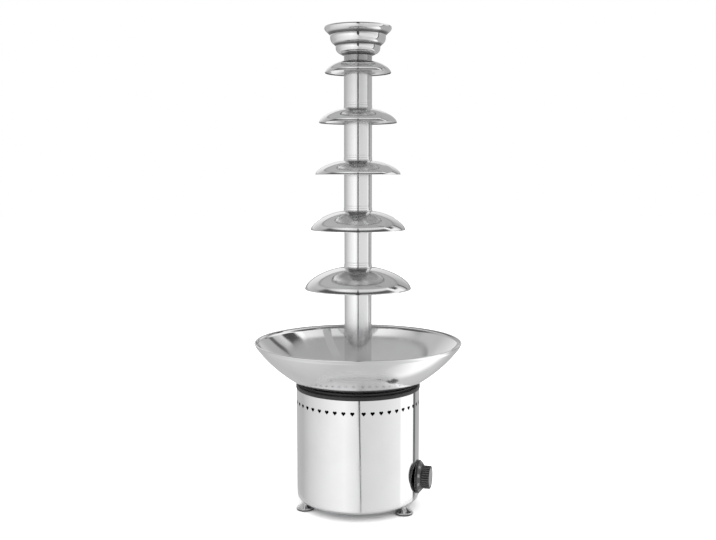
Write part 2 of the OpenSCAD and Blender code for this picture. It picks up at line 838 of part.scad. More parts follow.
// Path up one step of the crown: a sloping underside, a soft shoulder and a wall that leans out
function cup_step(in_r, shoulder_r, rise, top_r, z, h) =
    let (a = [in_r, z], b = [shoulder_r, z + rise], c = [top_r, z + h])
    let (before = a + (b - a) * 0.55, after = b + (c - b) * 0.4)
    concat([a, before], bend(before, b, after, 6), [c]);

// Stepped cup on a neck that slips over the last spigot
module crown() {
    neck_r = tube_bore_r + crown_t;
    step_1_z = crown_z + crown_neck_h;
    step_2_z = step_1_z + step_1_h;
    step_3_z = step_2_z + step_2_h;
    path = concat(
        [[neck_r, crown_z], [neck_r, step_1_z]],
        cup_step(neck_r + 2, step_1_shoulder_r, step_1_rise, step_1_top_r, step_1_z, step_1_h),
        cup_step(step_1_top_r + 0.4, step_2_shoulder_r, step_2_rise, step_2_top_r, step_2_z, step_2_h),
        cup_step(step_2_top_r + 0.4, step_3_shoulder_r, step_3_rise, step_3_top_r, step_3_z, step_3_h)
    );
    color(steel) revolve() polygon(sheet_outline(path, crown_t));
}

// Core of the auger, with a socket and a slot that drop over the drive pin
module auger_core() {
    slot_top_z = drive_pin_z + drive_pin_r + slide_gap;
    nose_z = auger_nose_z - nose_h;
    color(steel) difference() {
        union() {
            rod(auger_core_r, auger_foot_z, nose_z - auger_foot_z);
            translate([0, 0, nose_z]) cylinder(r1 = auger_core_r, r2 = auger_core_r / 2, h = nose_h);
        }
        rod(shaft_r + slide_gap, auger_foot_z - 1, shaft_top_z + free_gap - auger_foot_z + 1);
        translate([-2 * auger_core_r, -drive_pin_r - slide_gap, auger_foot_z - 1])
            cube([4 * auger_core_r, 2 * (drive_pin_r + slide_gap), slot_top_z - auger_foot_z + 1]);
    }
}

// Helical flight round the core
module auger_flight() {
    h = flight_top_z - flight_foot_z;
    turns = h / auger_pitch;
    inner_r = (auger_core_r + seat_gap) / cos(flight_half_angle / 2);
    bearings = [-flight_half_angle, 0, flight_half_angle];
    color(steel) translate([0, 0, flight_foot_z])
        linear_extrude(h, twist = -360 * turns, slices = round(turns * flight_steps_per_turn), $fn = 6)
            polygon(concat(
                [for (b = bearings) polar(auger_r, b)],
                [for (i = [2:-1:0]) polar(inner_r, bearings[i])]
            ));
}

// Shaft from the gearbox to the auger, with a collar that rests on the gearbox bush
module drive_shaft() {
    color(dark_steel) difference() {
        union() {
            rod(shaft_r, shaft_foot_z, shaft_top_z - shaft_foot_z);
            rod(collar_r, plate_z + slide_gap, collar_h);
        }
        translate([0, 0, drive_pin_z]) rotate([0, 90, 0])
            cylinder(r = drive_pin_r + seat_gap, h = 4 * shaft_r, center = true, $fn = 32);
    }
}

module drive_pin() {
    color(steel) translate([0, 0, drive_pin_z]) rotate([0, 90, 0])
        cylinder(r = drive_pin_r, h = drive_pin_len, center = true, $fn = 32);
}

module output_gear() {
    color(nylon) difference() {
        union() {
            translate([0, 0, output_z]) gear(wheel_teeth, pair_2_w, idler_bearing + 180 / wheel_teeth);
            rod(shaft_r + boss_wall, output_top_z, hub_collar_h);
        }
        rod(shaft_r + seat_gap, output_z - 1, pair_2_w + hub_collar_h + 2);
    }
}

// Plan shape shared by the gearbox case and its lid
module gearbox_plan(r, z, h) {
    rod(r, z, h);
    idler_place() rod(r, z, h);
    rotate([0, 0, idler_bearing]) translate([0, -r, z]) cube([gear_centres, 2 * r, h]);
}

module gearbox_ears(r, z, h) {
    rotate([0, 0, idler_bearing])
        for (along = [0, gear_centres], side = [-1, 1]) translate([along, side * ear_x, 0]) rod(r, z, h);
}

module gearbox_case() {
    color(dark_steel) difference() {
        union() {
            difference() {
                union() {
                    gearbox_plan(case_r, case_z, lid_z - case_z);
                    gearbox_ears(ear_r, case_z, lid_z - case_z);
                }
                gearbox_plan(case_in_r, case_floor_z, lid_z - case_floor_z + 1);
            }
            idler_place() rod(idler_pin_r + boss_wall, case_floor_z - 1, thrust_boss_h + 1);
        }
        idler_place() rod(idler_pin_r + seat_gap, case_z - 1, gearbox_wall + thrust_boss_h + 2);
        rod(rotor_shaft_r + bush_wall + 1, case_z - 1, gearbox_wall + 2);
        spread(4, tie_pitch_r, 45) rod(tie_screw_r + seat_gap, case_z - 1, gearbox_wall + 2);
        gearbox_ears(gearbox_screw_r + seat_gap, plate_top_z - gearbox_screw_len - 1, gearbox_screw_len);
    }
}

module gearbox_lid() {
    boss_z = lid_z - bush_drop;
    idler_boss_z = idler_top_z + slide_gap;
    color(dark_steel) difference() {
        union() {
            gearbox_plan(case_r, lid_z, lid_t);
            gearbox_ears(ear_r, lid_z, lid_t);
            rod(shaft_r + bush_wall + boss_wall, boss_z, bush_drop + 1);
            idler_place() rod(idler_pin_r + boss_wall, idler_boss_z, lid_z + 1 - idler_boss_z);
        }
        rod(shaft_r + bush_wall + seat_gap, boss_z - 1, bush_drop + lid_t + 2);
        idler_place() rod(idler_pin_r + seat_gap, idler_top_z - 1, lid_z + lid_t - idler_top_z);
        gearbox_ears(gearbox_screw_r + seat_gap, lid_z - 1, lid_t + 2);
    }
}

module gearbox_bush() {
    color(brass) ring(shaft_r + bush_wall, shaft_r + run_gap, lid_z - bush_drop, bush_drop + lid_t);
}

module gearbox_screws() {
    color(dark_steel) {
        gearbox_ears(gearbox_screw_r, plate_top_z - gearbox_screw_len, gearbox_screw_len);
        gearbox_ears(gearbox_screw_r + 1.5, plate_top_z, gearbox_head_h);
    }
}

// Idler with a large gear driven by the motor and a small one that drives the output
module idler_gear() {
    facing = idler_bearing + 180;
    small_z = pair_1_z + pair_1_w;
    color(nylon) idler_place() difference() {
        union() {
            translate([0, 0, pair_1_z]) gear(wheel_teeth, pair_1_w, facing + 180 / wheel_teeth);
            translate([0, 0, small_z]) gear(pinion_teeth, idler_top_z - small_z, facing);
        }
        rod(idler_pin_r + run_gap, pair_1_z - 1, idler_top_z - pair_1_z + 2);
    }
}

module idler_pin() {
    color(steel) idler_place() rod(idler_pin_r, case_z, lid_z + lid_t - 1.5 - case_z);
}

module motor_rotor() {
    core_z = stator_z + rotor_rest;
    color(dark_steel) {
        rod(rotor_shaft_r, bell_foot_z - rotor_tail, output_z - 1.5 - bell_foot_z + rotor_tail);
        rod(rotor_r, core_z, stator_h - 2 * rotor_rest);
    }
}

module motor_pinion() {
    color(brass) difference() {
        translate([0, 0, pair_1_z]) gear(pinion_teeth, pair_1_w, idler_bearing);
        rod(rotor_shaft_r + seat_gap, pair_1_z - 1, pair_1_w + 2);
    }
}

module motor_stator() {
    color(dark_steel) ring(stator_r, stator_bore_r, stator_z, stator_h);
}

module motor_coils() {
    out_r = stator_r - bell_rim_w - coil_gap;
    in_r = stator_bore_r + coil_gap;
    h = bell_h - bell_t - coil_gap;
    color(copper) {
        ring(out_r, in_r, stator_top_z, h);
        ring(out_r, in_r, stator_z - h, h);
    }
}

// End bell: a bearing plate with a rim that grips the stator
module motor_bell(plate_z, rim_z) {
    difference() {
        union() {
            rod(bell_r, plate_z, bell_t);
            ring(stator_r, stator_r - bell_rim_w, rim_z, bell_h - bell_t);
        }
        rod(rotor_shaft_r + run_gap, plate_z - 1, bell_t + 2);
        spread(4, tie_pitch_r, 45) rod(tie_screw_r + seat_gap, plate_z - 1, bell_t + 2);
    }
}

module motor_bell_upper() {
    color(aluminium) motor_bell(bell_top_z - bell_t, stator_top_z);
}

module motor_bell_lower() {
    color(aluminium) motor_bell(bell_foot_z, bell_foot_z + bell_t);
}

module motor_screws() {
    color(dark_steel) spread(4, tie_pitch_r, 45) {
        rod(tie_screw_r, bell_foot_z, case_floor_z - bell_foot_z - slide_gap);
        rod(tie_screw_r + 1.5, bell_foot_z - tie_head_h, tie_head_h);
    }
}

// Plate pulled up under the can's flange by the bowl's studs; the gearbox hangs from it
module mounting_plate() {
    color(dark_steel) difference() {
        rod(plate_r, plate_z, plate_t);
        rod(collar_r + 3, plate_z - 1, plate_t + 2);
        spread(stud_count, stud_pitch_r, stud_bearing)
            rod(bowl_stud_r + slide_gap, plate_z - 1, plate_t + 2);
        gearbox_ears(gearbox_screw_r + seat_gap, plate_z - 1, plate_t + 2);
        element_ends() rod(sleeve_r + 1, plate_z - 1, plate_t + 2);
        translate(grommet_place) rod(grommet_r, plate_z - 1, plate_t + 2);
    }
}

module heat_spreader() {
    color(aluminium) ring(spreader_r, spreader_hole_r, spreader_z, spreader_t);
}

module element_ends() {
    for (side = [-1, 1]) rotate([0, 0, terminal_bearing + side * element_gap_angle / 2])
        translate([element_ring_r, 0, 0]) children();
}

// Tubular ring element with a cold sleeve and a pin at each end
module heating_element() {
    foot_z = element_z - element_r - sleeve_tail;
    color(dark_steel) {
        rotate([0, 0, terminal_bearing + element_gap_angle / 2])
            rotate_extrude(angle = 360 - element_gap_angle)
                translate([element_ring_r, element_z]) circle(r = element_r, $fn = 48);
        element_ends() {
            rod(sleeve_r, foot_z, spreader_z - seat_gap - foot_z);
            rod(terminal_r, foot_z - terminal_tail, terminal_tail + 1);
        }
    }
}

// Bent straps that hold the element against the spreader
module heater_straps() {
    bar_z = element_z - element_r - seat_gap - strap_t;
    reach = element_r + seat_gap;
    in_reach = element_ring_r - sqrt(pow(element_ring_r - reach, 2) - pow(strap_w / 2, 2));
    color(steel) for (bearing = strap_bearings) rotate([0, 0, bearing])
        translate([element_ring_r, -strap_w / 2, 0]) {
            translate([-in_reach - strap_t, 0, bar_z])
                cube([in_reach + reach + 2 * strap_t, strap_w, strap_t]);
            for (x = [reach, -in_reach - strap_t])
                translate([x, 0, bar_z]) cube([strap_t, strap_w, spreader_z - bar_z]);
            for (x = [reach, -in_reach - strap_leg])
                translate([x, 0, spreader_z - strap_t]) cube([strap_leg, strap_w, strap_t]);
        }
}

module thermal_cutout() {
    color(black) translate(cutout_place) {
        rod(cutout_r, spreader_z - cutout_h, cutout_h);
        for (side = [-1, 1]) translate([side * 4 - 0.4, -2.5, spreader_z - cutout_h - 2]) cube([0.8, 5, 3]);
    }
}

// Sensing bulb under the spreader with its capillary down to the thermostat
module thermostat_bulb() {
    color(copper) {
        rotate([0, 0, bulb_bearing]) translate([bulb_pitch_r, 0, bulb_z]) rotate([90, 0, 0])
            cylinder(r = bulb_r, h = bulb_len, center = true, $fn = 32);
        lead(capillary_route, capillary_r);
    }
}

// Flat face for the thermostat on two legs that follow the can's wall
module thermostat_bracket() {
    face_r = bracket_face_r;
    color(dark_steel) difference() {
        intersection() {
            on_wall(knob_bearing, control_z) {
                translate([-bracket_w / 2, -bracket_h / 2, face_r]) cube([bracket_w, bracket_h, bracket_t]);
                for (x = [-bracket_w / 2, bracket_w / 2 - bracket_t]) translate([x, -bracket_h / 2, face_r])
                    cube([bracket_t, bracket_h, wall_in_r - face_r]);
            }
            rod(wall_in_r - seat_gap, 0, base_top_z);
        }
        on_wall(knob_bearing, control_z) rod(spindle_hole_r, face_r - 1, bracket_t + 2);
    }
}

module thermostat_body() {
    color(nylon) on_wall(knob_bearing, control_z) difference() {
        translate([-thermostat_w / 2, -thermostat_w / 2, bracket_face_r - thermostat_depth])
            cube([thermostat_w, thermostat_w, thermostat_depth]);
        rod(spindle_r + run_gap, bracket_face_r - spindle_depth, spindle_depth + 1);
    }
}

module thermostat_spindle() {
    start_r = bracket_face_r - spindle_depth + slide_gap;
    end_r = base_r + knob_gap + knob_len - cap_t - 2 * knob_wall;
    color(brass) on_wall(knob_bearing, control_z) rod(spindle_r, start_r, end_r - start_r);
}

// Moulded knob: skirt, fluted grip and a hub for the spindle; local z runs outwards from its back
module control_knob() {
    cone_z = knob_rim_w + knob_cone_w;
    floor_z = knob_len - cap_t - knob_wall;
    hollow_r = knob_grip_r - 2 * knob_wall;
    color(black) on_wall(knob_bearing, control_z) translate([0, 0, base_r + knob_gap]) difference() {
        union() {
            difference() {
                revolve() polygon([
                    [0, 0], [knob_skirt_r - 0.5, 0], [knob_skirt_r, 0.5], [knob_skirt_r, knob_rim_w - 0.6],
                    [knob_skirt_r - 0.8, knob_rim_w], [skirt_top_r, cone_z], [knob_grip_r, cone_z + 0.5],
                    [knob_grip_r, knob_len - 1.2], [knob_grip_r - 1.2, knob_len], [0, knob_len]
                ]);
                revolve() polygon([
                    [0, -1], [knob_skirt_r - knob_wall, -1],
                    [knob_skirt_r - knob_wall, knob_rim_w - knob_wall],
                    [hollow_r, cone_z - knob_wall], [hollow_r, floor_z], [0, floor_z]
                ]);
            }
            rod(knob_hub_r, knob_rim_w, floor_z - knob_rim_w + 0.5);
        }
        rod(spindle_r + seat_gap, -1, floor_z - knob_wall + 1 + seat_gap);
        rod(cap_r + seat_gap, knob_len - cap_t, cap_t + 1);
        spread(flute_count, knob_grip_r + flute_r / 2) rod(flute_r, cone_z + 2, knob_len);
    }
}

module knob_cap() {
    color(aluminium) on_wall(knob_bearing, control_z)
        rod(cap_r, base_r + knob_gap + knob_len - cap_t, cap_t);
}

// Block of the switch's plan size grown by a gap, from one radius outwards
module switch_block(gap, from_r, depth) {
    w = switch_w + 2 * gap;
    h = switch_h + 2 * gap;
    translate([-w / 2, -h / 2, from_r]) cube([w, h, depth]);
}

module switch_body() {
    mouth_gap = -switch_wall;
    color(black) on_wall(switch_bearing, control_z) difference() {
        union() {
            switch_block(0, base_r - switch_depth, switch_depth + bezel_t);
            switch_block(bezel_lap, base_r + seat_gap, bezel_t);
        }
        switch_block(mouth_gap, base_r - rocker_depth, rocker_depth + 2 * bezel_t);
        translate([0, 0, pivot_r]) rotate([0, 90, 0])
            cylinder(r = rocker_pin_r + run_gap, h = switch_w + 1, center = true, $fn = 24);
    }
}

// Rocker drawn in its off position, on two short pins
module switch_rocker() {
    half_h = switch_h / 2 - switch_wall - 0.8;
    w = switch_w - 2 * switch_wall - 2 * free_gap;
    color(black) on_wall(switch_bearing, control_z) translate([0, 0, pivot_r]) rotate([rocker_tilt, 0, 0]) {
        rotate([0, -90, 0]) translate([0, 0, -w / 2]) linear_extrude(w) polygon([
            [3, half_h], [1.6, 0], [3, -half_h],
            [-0.5, -half_h], [-4, -half_h / 2], [-4, half_h / 2], [-0.5, half_h]
        ]);
        rotate([0, 90, 0]) cylinder(r = rocker_pin_r, h = switch_w - 0.4, center = true, $fn = 24);
    }
}

// Gland body: hexagon outside, thread through the wall, cord bore right through
module cable_gland() {
    color(black) on_wall(gland_bearing, gland_z) difference() {
        union() {
            translate([0, 0, base_r + seat_gap]) cylinder(r = gland_flange_r, h = gland_flange_t, $fn = 6);
            rod(gland_thread_r, base_r - gland_tail, gland_tail + gland_flange_t + 4);
        }
        rod(gland_bore_r, base_r - gland_tail - 1, 3 * gland_tail);
    }
}

module gland_nut() {
    z = base_r + seat_gap + gland_flange_t;
    color(black) on_wall(gland_bearing, gland_z) difference() {
        translate([0, 0, z]) cylinder(r1 = gland_flange_r - 1, r2 = gland_thread_r, h = gland_nut_len);
        rod(gland_thread_r + seat_gap, z - 1, 5.5);
        rod(gland_bore_r, z - 1, gland_nut_len + 2);
    }
}

module gland_locknut() {
    color(black) on_wall(gland_bearing, gland_z) difference() {
        translate([0, 0, wall_in_r - locknut_t - 0.9]) cylinder(r = gland_flange_r, h = locknut_t, $fn = 6);
        rod(gland_thread_r + seat_gap, base_r - gland_tail - 1, gland_tail + 2);
    }
}

module terminal_block() {
    corner = [block_place.x - block_size.x / 2, block_place.y - block_size.y / 2, base_gap];
    way_pitch = block_size.x / block_ways;
    color(nylon) translate(corner) difference() {
        cube(block_size);
        for (i = [0:block_ways - 1]) translate([way_pitch * (i + 0.5), block_size.y / 2, block_size.z - 6])
            cylinder(r = 1.6, h = 10, $fn = 24);
    }
}

module wiring() {
    color(black) for (route = lead_routes) lead(route, lead_r);
}

base_shell();
bottom_cover();
cover_screws();
levelling_foot(1);  // levelling_foot_1
levelling_foot(2);  // levelling_foot_2
levelling_foot(3);  // levelling_foot_3
support_ring();
bowl();
stud_nuts();
bowl_hub();
shaft_bush();
shaft_seal();
tower_tube_1();
tower_tube_2();
tower_tube_3();
tower_tube_4();
tower_tube_5();
dome_1();
dome_2();
dome_3();
dome_4();
dome_5();
crown();
auger_core();
auger_flight();
drive_shaft();
drive_pin();
output_gear();
gearbox_case();
gearbox_lid();
gearbox_bush();
gearbox_screws();
idler_gear();
idler_pin();
motor_rotor();
motor_pinion();
motor_stator();
motor_coils();
motor_bell_upper();
motor_bell_lower();
motor_screws();
mounting_plate();
heat_spreader();
heating_element();
heater_straps();
thermal_cutout();
thermostat_bulb();
thermostat_bracket();
thermostat_body();
thermostat_spindle();
control_knob();
knob_cap();
switch_body();
switch_rocker();
cable_gland();
gland_nut();
gland_locknut();
terminal_block();
wiring();
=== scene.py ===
"""Chocolate fountain of mirror-polished steel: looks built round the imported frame, in metres."""

import json
import math

import bmesh
import bpy
from mathutils import Matrix, Vector
from mathutils.geometry import delaunay_2d_cdt


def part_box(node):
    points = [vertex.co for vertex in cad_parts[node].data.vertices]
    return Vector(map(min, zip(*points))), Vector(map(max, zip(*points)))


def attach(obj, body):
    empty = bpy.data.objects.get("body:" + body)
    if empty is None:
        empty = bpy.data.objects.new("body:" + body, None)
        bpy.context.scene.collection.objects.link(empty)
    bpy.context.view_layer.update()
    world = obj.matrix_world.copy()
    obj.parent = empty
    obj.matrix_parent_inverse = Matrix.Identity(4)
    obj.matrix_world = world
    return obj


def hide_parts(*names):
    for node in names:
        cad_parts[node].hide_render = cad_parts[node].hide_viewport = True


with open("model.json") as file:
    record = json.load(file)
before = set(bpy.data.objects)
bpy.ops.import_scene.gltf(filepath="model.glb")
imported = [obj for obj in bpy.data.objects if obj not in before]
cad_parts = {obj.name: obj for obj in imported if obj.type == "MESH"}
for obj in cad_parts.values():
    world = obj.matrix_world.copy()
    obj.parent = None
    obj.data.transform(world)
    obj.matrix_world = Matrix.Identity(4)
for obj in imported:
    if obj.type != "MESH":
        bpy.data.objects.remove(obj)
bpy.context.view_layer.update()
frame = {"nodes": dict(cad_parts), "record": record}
MM = 0.001
UP = Vector((0.0, 0.0, 1.0))

# Meshes and sheet steel
SEGMENTS = 168
FINE_SEGMENTS = 2 * SEGMENTS
SHARP_ANGLE = math.radians(32)
SAME_POINT = 1e-7
ON_AXIS = 1e-9
SHEET = 1.0 * MM
EDGE_ROUND = 0.45 * MM

# Base can
EDGE_R = 9.0 * MM
SERVICE_R = 92.0 * MM
FLANGE_W = 19.5 * MM
VENT_COUNT = 45
VENT_FRONT_GAP = math.radians(10)
VENT_W = 8.2 * MM
VENT_H = 7.8 * MM
VENT_DROP = 25.0 * MM
HEART_LOBE = 0.28
HEART_ARC = (-38, 118)
WALL_STEP = 6.0 * MM
HOLE_MARGIN = 1.6 * MM
HOLE_GAP = 0.05 * MM
SPINDLE_HOLE_R = 6.0 * MM
WALL_MAX_TILT = 0.2
WALL_MIN_OUT = 0.9

# Switch and gland on the wall
SWITCH_BEARING = math.radians(25)
SWITCH_W = 15.0 * MM
SWITCH_H = 21.0 * MM
GLAND_R = 8.0 * MM

# Ring under the bowl
RING_PROUD = 1.0 * MM
RING_W = 16.5 * MM
RING_RECESS = 5.0 * MM
RING_BEAD_SHARE = 0.62
RING_ROUND = 1.8 * MM

# Bowl, with the pegs that hold the tower and the studs that hold the bowl
BOWL_FLOOR_R = 118.0 * MM
BOWL_BEND_R = 165.5 * MM
BOWL_BEND_H = 28.0 * MM
BOWL_HOLE_R = 12.05 * MM
BEAD_R = 1.6 * MM
BEAD_ARC = (-55, 216)
WALL_TOP_DROP = 7.7 * MM
WALL_TOP_IN = 2.6 * MM
PEG_BEARINGS = (90, 210, 330)
PEG_IN = 2.5 * MM
PEG_R = 2.0 * MM
PEG_H = 8.0 * MM
PEG_BEVEL = 0.6 * MM
STUD_BEARINGS = (45, 135, 225, 315)
STUD_RING_R = 94.0 * MM
STUD_R = 3.0 * MM
STUD_BEVEL = 0.4 * MM

# Tower
TOWER_LEVELS = range(1, 6)
TUBE_SEGMENTS = 120
TUBE_WALL = 1.0 * MM
LIP_PROUD = 0.8 * MM
LIP_ROUND = 0.6 * MM
LIP_FOOT_H = 1.5 * MM
COLLAR_PROUD = 0.35 * MM
COLLAR_FOOT = (2.0 * MM, 2.2 * MM, 2.6 * MM)
COLLAR_H = 6.5 * MM
COLLAR_TOP = (0.45 * MM, 0.25 * MM)
COLLAR_BEVEL = 0.1 * MM
COLLAR_LAND = 0.2 * MM
GROOVE_Z = 10.5 * MM
GROOVE_R = 0.4 * MM
GROOVE_LAND = 0.6 * MM
SHOULDER_BEVEL = 0.3 * MM
SHOULDER_LAND = 0.5 * MM
SPIGOT_LEN = 14.0 * MM
SPIGOT_LEAD_H = 1.0 * MM
SPIGOT_LEAD_IN = 0.4 * MM
NECKING = (2.0 * MM, 4.0 * MM)
SLIDE_GAP = 0.1 * MM
INTAKE_W = 18.0 * MM
INTAKE_H = 15.0 * MM
INTAKE_BEARINGS = (30, 150, 270)
INTAKE_BELOW = 1.0 * MM
INTAKE_START = 10.0 * MM
ARCH_STEPS = 24

# Domes
DOME_STEPS = 72
DOME_LAND_W = 2.0 * MM
DOME_CROWN_POWER = 1.45
DOME_EDGE_POWER = 0.6
# Height of the painted shade inside the domes' rims, and the tilt that marks an underside
HEM_H = 1.5 * MM
UNDERSIDE = -0.02

# Crown: shoulder radius, rise of the underside, top radius and height of each step, lowest first
CROWN_STEPS = [
    (39.0 * MM, 5.4 * MM, 42.1 * MM, 17.5 * MM),
    (50.2 * MM, 7.2 * MM, 52.6 * MM, 20.2 * MM),
    (62.0 * MM, 8.4 * MM, 63.4 * MM, 14.3 * MM),
]
CROWN_NECK_H = 11.0 * MM
CROWN_NECK_BEND = 0.8 * MM
CROWN_NECK_FLARE = 2.0 * MM
CROWN_WALL_START = 0.86
SHOULDER_LIFT = 0.5 * MM
CREASE_IN = 0.4 * MM
CREASE_LEAD = 0.1
# Painted shade and extra roughness in the corners under the crown's steps and on its neck
CREASE_FULL = 0.25
CREASE_END = 0.7
CREASE_BELOW = 1.2 * MM
CREASE_SHADE_TINT = 0.20
CREASE_ROUGH = 0.3
NECK_SHADE = 0.45
NECK_SHADE_BLEND = 1.0 * MM

# Feet: the cone starts at (in from the edge, height) and leans to (out from the neck, height)
FOOT_SEGMENTS = 72
FOOT_PROUD = 2.0 * MM
# Height below which the foot's edge gets painted shade
FOOT_SHADE_H = 2.6 * MM
FOOT_EDGE_ROUND = 1.6 * MM
FOOT_TOP_ROUND = 2.4 * MM
FOOT_TOP_H = 3.2 * MM
FOOT_CONE_START = (1.02 * MM, 5.17 * MM)
FOOT_CONE_LEAN = (5.0 * MM, 7.4 * MM)
FOOT_WAIST_H = 12.6 * MM
FOOT_NECK_R = 4.6 * MM
FOOT_NECK_H = 13.9 * MM
FOOT_STUD_R = 3.0 * MM
FOOT_STUD_BEVEL = 0.8 * MM

# Knob, along its own axis from the back
KNOB_BEARING = math.radians(-15)
KNOB_GAP = 1.0 * MM
KNOB_BACK = 0.7 * MM
KNOB_BACK_ROUND = 0.6 * MM
# Depth of the knob's back that gets the painted light
KNOB_BACK_EDGE = 0.2 * MM
KNOB_SKIRT_R = 32.0 * MM
KNOB_RIM_W = 3.0 * MM
KNOB_RIM_ROUND = 0.8 * MM
KNOB_CONE_R = KNOB_SKIRT_R - 0.9 * MM
KNOB_CONE_Z = KNOB_RIM_W + 6.0 * MM
KNOB_SKIRT_TOP_R = 24.5 * MM
KNOB_WAIST_ROUND = 1.5 * MM
KNOB_WAIST_Z = KNOB_CONE_Z + 1.9 * MM
KNOB_GRIP_R = 22.0 * MM
KNOB_GRIP_Z = KNOB_CONE_Z + 2.0 * MM
KNOB_GRIP_ROUND = 1.2 * MM
KNOB_LEN = 24.5 * MM
KNOB_WALL = 2.0 * MM
KNOB_HUB_R = 6.0 * MM
SPINDLE_R = 3.0 * MM
FLUTES = 30
FLUTE_SEGMENTS = 16
FLUTE_R = 1.5 * MM
FLUTE_OUT = 0.2
FLUTE_REACH = 0.9 * MM
# Depth of the rib crests that carry the painted highlight
RIB_DEPTH = 0.12 * MM

# Plate in the knob's end
KNOB_CAP_SEGMENTS = 96
KNOB_CAP_R = 18.0 * MM
KNOB_CAP_T = 1.2 * MM
KNOB_CAP_GAP = 0.05 * MM
KNOB_CAP_BEVEL = 0.3 * MM
KNOB_CAP_RIM = (2.4 * MM, 2.7 * MM)
KNOB_CAP_DISH = 0.25 * MM

# Dial on the knob's skirt
DIAL_NUMBERS = ("0", "30", "40", "50", "60", "70", "80", "90", "110")
DIAL_SPAN = math.radians(280)
DIAL_TEXT_SIZE = 6.2 * MM
DIAL_TEXT_BOLD = 0.12 * MM
DIAL_TEXT_DEPTH = 0.08 * MM
DIAL_TEXT_LIFT = 0.12 * MM
DIAL_BAND = (0.08, 0.94)
DIAL_BAND_LIFT = 0.1 * MM
DIAL_SEGMENTS = 192

# Materials: noise scales per metre
NOISE_RANGE = (0.3, 0.7)
BLACK_TINTS = ((0.012, 0.012, 0.013), (0.02, 0.02, 0.021))
MOULD_GRAIN = 2600.0
IVORY_GRAIN = 1800.0
RUBBER_GRAIN = 1600.0
BUMP_DEPTH = 0.2 * MM

# Camera fitted to the rims in the photograph
CAMERA_DISTANCE = 1.7953
CAMERA_HEIGHT = 0.6436
CAMERA_DOWN = math.radians(5.859)
CAMERA_LENS = 47.12
CAMERA_SENSOR = 36.0

# Studio panels: azimuth in degrees, 0 towards the viewer and right positive, and brightness
FLOOR_PANELS = [
    (-180, 0.6), (-150, 0.6), (-90, 0.9), (-30, 1.05), (-8, 0.95), (4, 0.65), (16, 0.65),
    (28, 0.75), (70, 0.75), (102, 0.95), (110, 1.3), (138, 1.3), (147, 0.7), (165, 0.6),
    (180, 0.6),
]
FRONT_PANELS = [
    (-180, 0.55), (-124, 0.55), (-100, 0.75), (-50, 1.05), (-25, 1.15), (0, 0.95), (5, 0.8),
    (45, 0.9), (84, 1.05), (88, 1.3), (124, 1.3), (126, 0.15), (133, 0.15), (136, 0.5),
    (180, 0.55),
]
LEVEL_PANELS = [
    (-180, 0.35), (-140, 0.5), (-110, 0.65), (-60, 1.1), (-25, 1.35), (0, 1.0), (6, 0.9),
    (80, 0.9), (88, 1.05), (98, 1.05), (100, 0.1), (109, 0.1), (112, 0.55), (140, 0.5),
    (180, 0.35),
]
MIDDLE_PANELS = [
    (-180, 0.95), (-165, 0.95), (-130, 0.6), (-70, 0.3), (0, 0.25), (30, 0.25), (72, 0.8),
    (98, 1.1), (118, 1.1), (132, 0.55), (133, 0.15), (138, 0.15), (139, 0.5), (150, 0.5),
    (180, 0.95),
]
HIGH_PANELS = [
    (-180, 0.7), (-130, 0.6), (-100, 0.6), (-60, 1.0), (-40, 1.1), (0, 0.8), (60, 0.85),
    (98, 1.1), (116, 1.0), (132, 0.5), (133, 0.1), (138, 0.1), (139, 0.45), (165, 0.45),
    (180, 0.7),
]
TOP_PANELS = [
    (-180, 0.5), (-130, 0.54), (-60, 0.5), (0, 0.42), (60, 0.44), (130, 0.46), (180, 0.5),
]

# Elevations in degrees over which one row of panels gives way to the next
NADIR_BLEND = (-80.0, -50.0)
FRONT_BLEND = (-34.0, -20.0)
LEVEL_BLEND = (-12.0, -8.0)
MIDDLE_BLEND = (6.0, 9.0)
HIGH_BLEND = (26.0, 34.0)
NADIR_LEVEL = 0.64
FRONT_HEIGHTS = [(-90, 1.0), (-8, 1.0), (0, 0.93), (5, 0.84), (10, 0.7), (90, 0.7)]
LEVEL_HEIGHTS = [(-90, 1.0), (0, 1.0), (6, 0.92), (9, 0.7), (90, 0.7)]

# Dark strip in front and bright one at the side: their shares by azimuth and by elevation
SHADE_REACH = [(-180, 0.0), (-106, 0.0), (-90, 1.0), (82, 1.0), (92, 0.0), (180, 0.0)]
SHADE_HEIGHTS = [(-90, 0.0), (12, 0.0), (18, 1.0), (42, 1.0), (49, 0.0), (90, 0.0)]
SHADE_LEVEL = 0.11
SIDE_REACH = [(-180, 0.0), (92, 0.0), (93, 1.0), (119, 1.0), (120, 0.0), (180, 0.0)]
SIDE_HEIGHTS = [(-90, 0.0), (32, 0.0), (36, 1.0), (50, 1.0), (52, 0.0), (90, 0.0)]
SIDE_PANELS = [(-180, 1.3), (101, 1.3), (102, 0.08), (180, 0.08)]

# Dark slit between the two front panels: its azimuth and half width by elevation
SLIT_LEVEL = 0.06
SLIT_MIDDLES = [
    (-90, 6.0), (-21, 6.0), (-12, 1.0), (-7, -4.0), (10, -4.0), (20, 0.0), (90, 0.0),
]
SLIT_WIDTHS = [
    (-90, 0.0), (-27, 0.0), (-15, 1.2), (-11, 2.2), (-3, 5.0), (6, 5.5), (22, 2.2), (60, 1.8),
    (74, 0.0), (90, 0.0),
]

# Round cap overhead, leaning back, with a darker edge
CAP_TILT = math.radians(22)
CAP_ANGLE = 40.3
CAP_SOFT = 0.9
CAP_EDGE = 5.0
CAP_EDGE_LEVEL = 0.36
CAP_BLEND = (12.0, 26.0)

# Grey card beside the crown and its dark front edge
CARD_EDGE = (0.205, -0.036)
CARD_FRONT = (0.205, -0.018)
CARD_BACK = (0.10, 0.21)
CARD_LOW = 0.75
CARD_HIGH = 0.93
CARD_LEVEL = 0.50
CARD_EDGE_LEVEL = 0.10

# Light on what is not a mirror, and the floor
DIFFUSE_LEVEL = 1.0
FLOOR_SIZE = 24.0
FLOOR_COLOUR = 0.9
FLOOR_ROUGH = 0.9
FLOOR_SEEN = 1.7
FLOOR_NEAR_R = 0.135
FLOOR_FAR_R = 0.19


